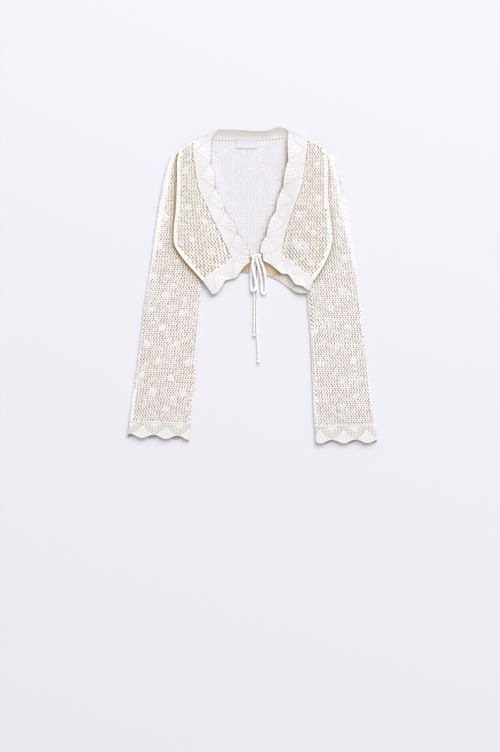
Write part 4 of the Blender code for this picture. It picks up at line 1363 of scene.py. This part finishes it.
def make_front(side, finish, random):
    """Net panel from the side edge to the front band, with closed stitches round its edges."""
    edge, _ = along(SIDES[side], EDGE_STEPS)
    seam, _ = along(FRONT_BANDS[side], EDGE_STEPS)
    seam = seam[:, :2]
    outline = np.concatenate([edge, seam[::-1]])
    toward = 1.0 if side == "right" else -1.0
    edge_loop = np.concatenate([edge, edge[::-1] - (toward * 0.5, 0.0)])

    def surface(places, depth):
        """Over the back, and puffed up by a smoothstep of the distance from the outline."""
        distance, _, inside = nearest(places, outline)
        puff = FRONT_PUFF * smoothstep(np.where(inside, distance, 0.0) / PUFF_EDGE)
        z = height_over_sleeves(places) + FRONT_LAYER + puff + NET_WALL - depth
        return np.concatenate([places, z[:, None]], axis=1)

    def openness(places):
        """Holes close up along the side edge and open towards the band."""
        distance, _, _ = nearest(places, edge_loop)
        return between(*EDGE_OPEN, smoothstep((distance - EDGE_START) / EDGE_SPAN))

    low = outline.min(axis=0) - FRONT_MARGIN
    high = outline.max(axis=0) + FRONT_MARGIN
    warp = lean_warp(edge[0, 0], toward, FRONT_LEAN[side])
    patches = [net(FRONT_STITCHES[side], outline, low, high, surface, dots_at(FRONT_DOTS[side]),
                   openness, random, warp=warp, relief=FRONT_RELIEF)]
    edges = (
        (edge, 1.7, 0.22), (seam, 1.8, 0.3),
        (np.stack([edge[-1], seam[-1]]), 1.7, 0.25), (np.stack([edge[0], seam[0]]), 1.7, 0.25),
    )
    centre = outline.mean(axis=0)
    for line, half_width, shade in edges:
        patches.append(edge_chain(line, centre, surface, half_width, shade=shade, **FRONT_CHAIN))
    name = f"front_{side}"
    obj = piece(name + "_net", patches, finish, [name], sharp=NET_SHARP)


# Back: painted shades and relief of its inner side, its dots' spacing and first row in mm and
# how far they close, the painted shade under each front with its reach in mm, and the chains
# along the edges
BACK_SHADES = (0.1, 0.18, 0.6, 0.4)
BACK_RELIEF = 0.16
BACK_MARGIN = 4.0
BACK_DOT_SPACING = 38.0
BACK_DOT_START = 30.0
BACK_DOT_SHUT = 0.45
LIT_SIDE_PAINTED_SHADE = 0.7
LIT_REACH = 3.0
SHADOW_SIDE_PAINTED_SHADE = 0.85
SHADOW_REACH = 6.0
BACK_CHAIN = {"half_height": 0.8, "step": 1.4, "inset": 0.8, "depth": 0.8}


def make_back(finish, random):
    """Net panel of the whole back: its inner side shows in the neck opening."""
    top, _ = along(BACK_TOP, EDGE_STEPS)
    hem, _ = along(HEM_BACK, EDGE_STEPS)
    right, _ = along(SIDES["right"], EDGE_STEPS)
    left, _ = along(SIDES["left"], EDGE_STEPS)
    outline = np.concatenate([top, left[1:], hem[-2::-1, :2], right[-2:0:-1]])

    def surface(places, depth):
        """On the floor and over the sleeves, with its top one wall up."""
        z = height_over_sleeves(places) + NET_WALL - depth
        return np.concatenate([places, z[:, None]], axis=1)

    column, row = np.meshgrid(np.arange(-4, 5), np.arange(8))
    spots = dots_at(np.stack([
        (column + row % 2 / 2.0).ravel() * BACK_DOT_SPACING,
        row.ravel() * BACK_DOT_SPACING + BACK_DOT_START,
    ], axis=1))
    lit_side = covered([front_cover("right")], LIT_REACH)
    shadow_side = covered([front_cover("left")], SHADOW_REACH)

    def dim(places):
        """Painted shade where the fronts and their bands cover the back, and beside them."""
        return np.maximum(LIT_SIDE_PAINTED_SHADE * lit_side(places), SHADOW_SIDE_PAINTED_SHADE * shadow_side(places))

    low = outline.min(axis=0) - BACK_MARGIN
    high = outline.max(axis=0) + BACK_MARGIN
    patches = [net(BACK_STITCH, outline, low, high, surface,
                   lambda places: BACK_DOT_SHUT * spots(places),
                   lambda places: np.ones(len(places)), random, shades=BACK_SHADES,
                   dim=dim, relief=BACK_RELIEF)]
    centre = outline.mean(axis=0)
    for line, half_width in ((top, 1.8), (left, 2.0), (right, 2.0), (hem[:, :2], 1.5)):
        patches.append(edge_chain(line, centre, surface, half_width, **BACK_CHAIN))
    obj = piece("back_net", patches, finish, ["back"], sharp=NET_SHARP)


def neckband_heights(plan, share):
    """The band behind the neck stands up towards its top edge."""
    return np.broadcast_to(NECKBAND_STAND * share ** NECKBAND_CURVE, plan.shape[:2])


# Back hem: its painted shade, what the fronts add to it within this reach in mm, and how much
# less it is where the light falls on it, from this x on, mm
HEM_PAINTED_SHADE = 0.26
HEM_COVER_PAINTED_SHADE = 0.8
HEM_REACH = 6.0
HEM_LIT = 0.75
HEM_LIT_START = 55.0
HEM_LIT_SPAN = 15.0


def back_hem_painted_shade():
    """Painted shade added to the back hem's inner side, as a function of the plan."""
    under = covered([front_cover(side) for side in SIDES], HEM_REACH)

    def dim(plan):
        lit = smoothstep((plan[..., 0] - HEM_LIT_START) / HEM_LIT_SPAN)
        return (HEM_PAINTED_SHADE + HEM_COVER_PAINTED_SHADE * under(plan)) * (1.0 - HEM_LIT * lit)

    return dim


# Label, mm: place, width, stitch and depth of the sewing near each end, and width and stitch
# of the line along the turned lower edge, which is partly its stitches and partly painted shadow
SEWN_INSET = 1.8
SEWN_WIDTH = 0.6
SEWN_STITCH = 2.6
SEWN_DEPTH = 0.35
LABEL_EDGE_LINE_WIDTH = 1.1
LABEL_EDGE_LINE_STITCH = 5.2


def make_label(finish):
    """Blank tape label: a thin wall with stitched ends, over the neck seam."""
    rows = np.array(LABEL_ROWS)
    y = np.linspace(rows[0, 0], rows[-1, 0], 26)
    z = np.interp(y, rows[::-1, 0], rows[::-1, 1])
    grid_x, grid_y = np.meshgrid(np.linspace(*LABEL_SPAN, 60), y)
    end = np.minimum(grid_x - LABEL_SPAN[0], LABEL_SPAN[1] - grid_x)
    sewn = bell(end - SEWN_INSET, SEWN_WIDTH) * ripple(grid_y / SEWN_STITCH)
    hem = bell(grid_y - y.min(), LABEL_EDGE_LINE_WIDTH) * between(0.2, 1.0, ripple(grid_x / LABEL_EDGE_LINE_STITCH))
    base = z[:, None] + 0.0 * grid_x
    top = np.stack([grid_x, grid_y, base + LABEL_WALL - SEWN_DEPTH * sewn], axis=-1)
    bottom = np.stack([grid_x, grid_y, base], axis=-1)
    # The sewing is a warm grey; the line along the lower edge is partly its stitches and partly
    # painted shadow, and the underside takes painted shade
    body = slab(top, bottom, 0.3 * sewn + 0.6 * hem, 0.5, np.stack([grid_x, grid_y], axis=-1))
    obj = piece("label_tape", [body], finish, ["label"], sharp=50.0)


def main():
    make_camera()
    # Each yarn finish's flank and deep colours are painted shade
    cord_finish = yarn("knitted_cotton_cord", "#F4F2F4", "#ECE8E4", "#CDB586", 1.1, 40.0, 0.12)
    make_tie(cord_finish)
    random = np.random.default_rng(SEED)
    net_finish = yarn("knitted_cotton_net", "#F7F5F7", "#E5DED6", "#A58A54", 1.2, 32.0, 0.15)
    # The sleeves and neckband take a greyer painted shade
    greyer_shade_finish = yarn("cotton_knit_greyer_painted_shade", "#F7F5F7", "#E4DDD8", "#9B8868", 1.2, 32.0, 0.15)
    # The back: a cooler crest for painted cool light, and painted golden shade under the fronts
    back_finish = yarn("cotton_net_painted_cool_light_and_shade", "#EDECF2", "#D8D5D9", "#B99A50", 1.2, 32.0, 0.12)
    band_finish = yarn("ribbed_cotton_band", "#EAE8EB", "#DBD6D4", "#A8977E", 1.1, -28.0, 0.12)
    # The back hem: the band yarn with darker, warmer painted shade, as it lies under the fronts
    shaded_band_finish = yarn("cotton_band_painted_shade", "#E9E4E0", "#D3C8B6", "#AE9870", 1.1, -28.0, 0.12)
    for side in ("right", "left"):
        make_sleeve(side, greyer_shade_finish, random)
        make_cuff(side, band_finish)
        make_front(side, net_finish, random)
    make_back(back_finish, random)
    for side in ("right", "left"):
        make_band(f"front_band_{side}", FRONT_BANDS[side], band_finish, FRONT_LAYER, SCALLOP_DEPTH)
        make_band(f"hem_front_{side}", FRONT_HEMS[side], band_finish, FRONT_LAYER, 0.0,
                  straight=True)
    make_band("hem_back", HEM_BACK, shaded_band_finish, 0.0, 0.0, ruffle=0.0, dim=back_hem_painted_shade())
    make_band("neckband_back", NECKBAND_BACK, greyer_shade_finish, 0.0, 0.0, stitch=plain_rib, ruffle=0.0,
              heights=neckband_heights)
    make_label(satin_tape())
    make_floor()
    make_light()


main()
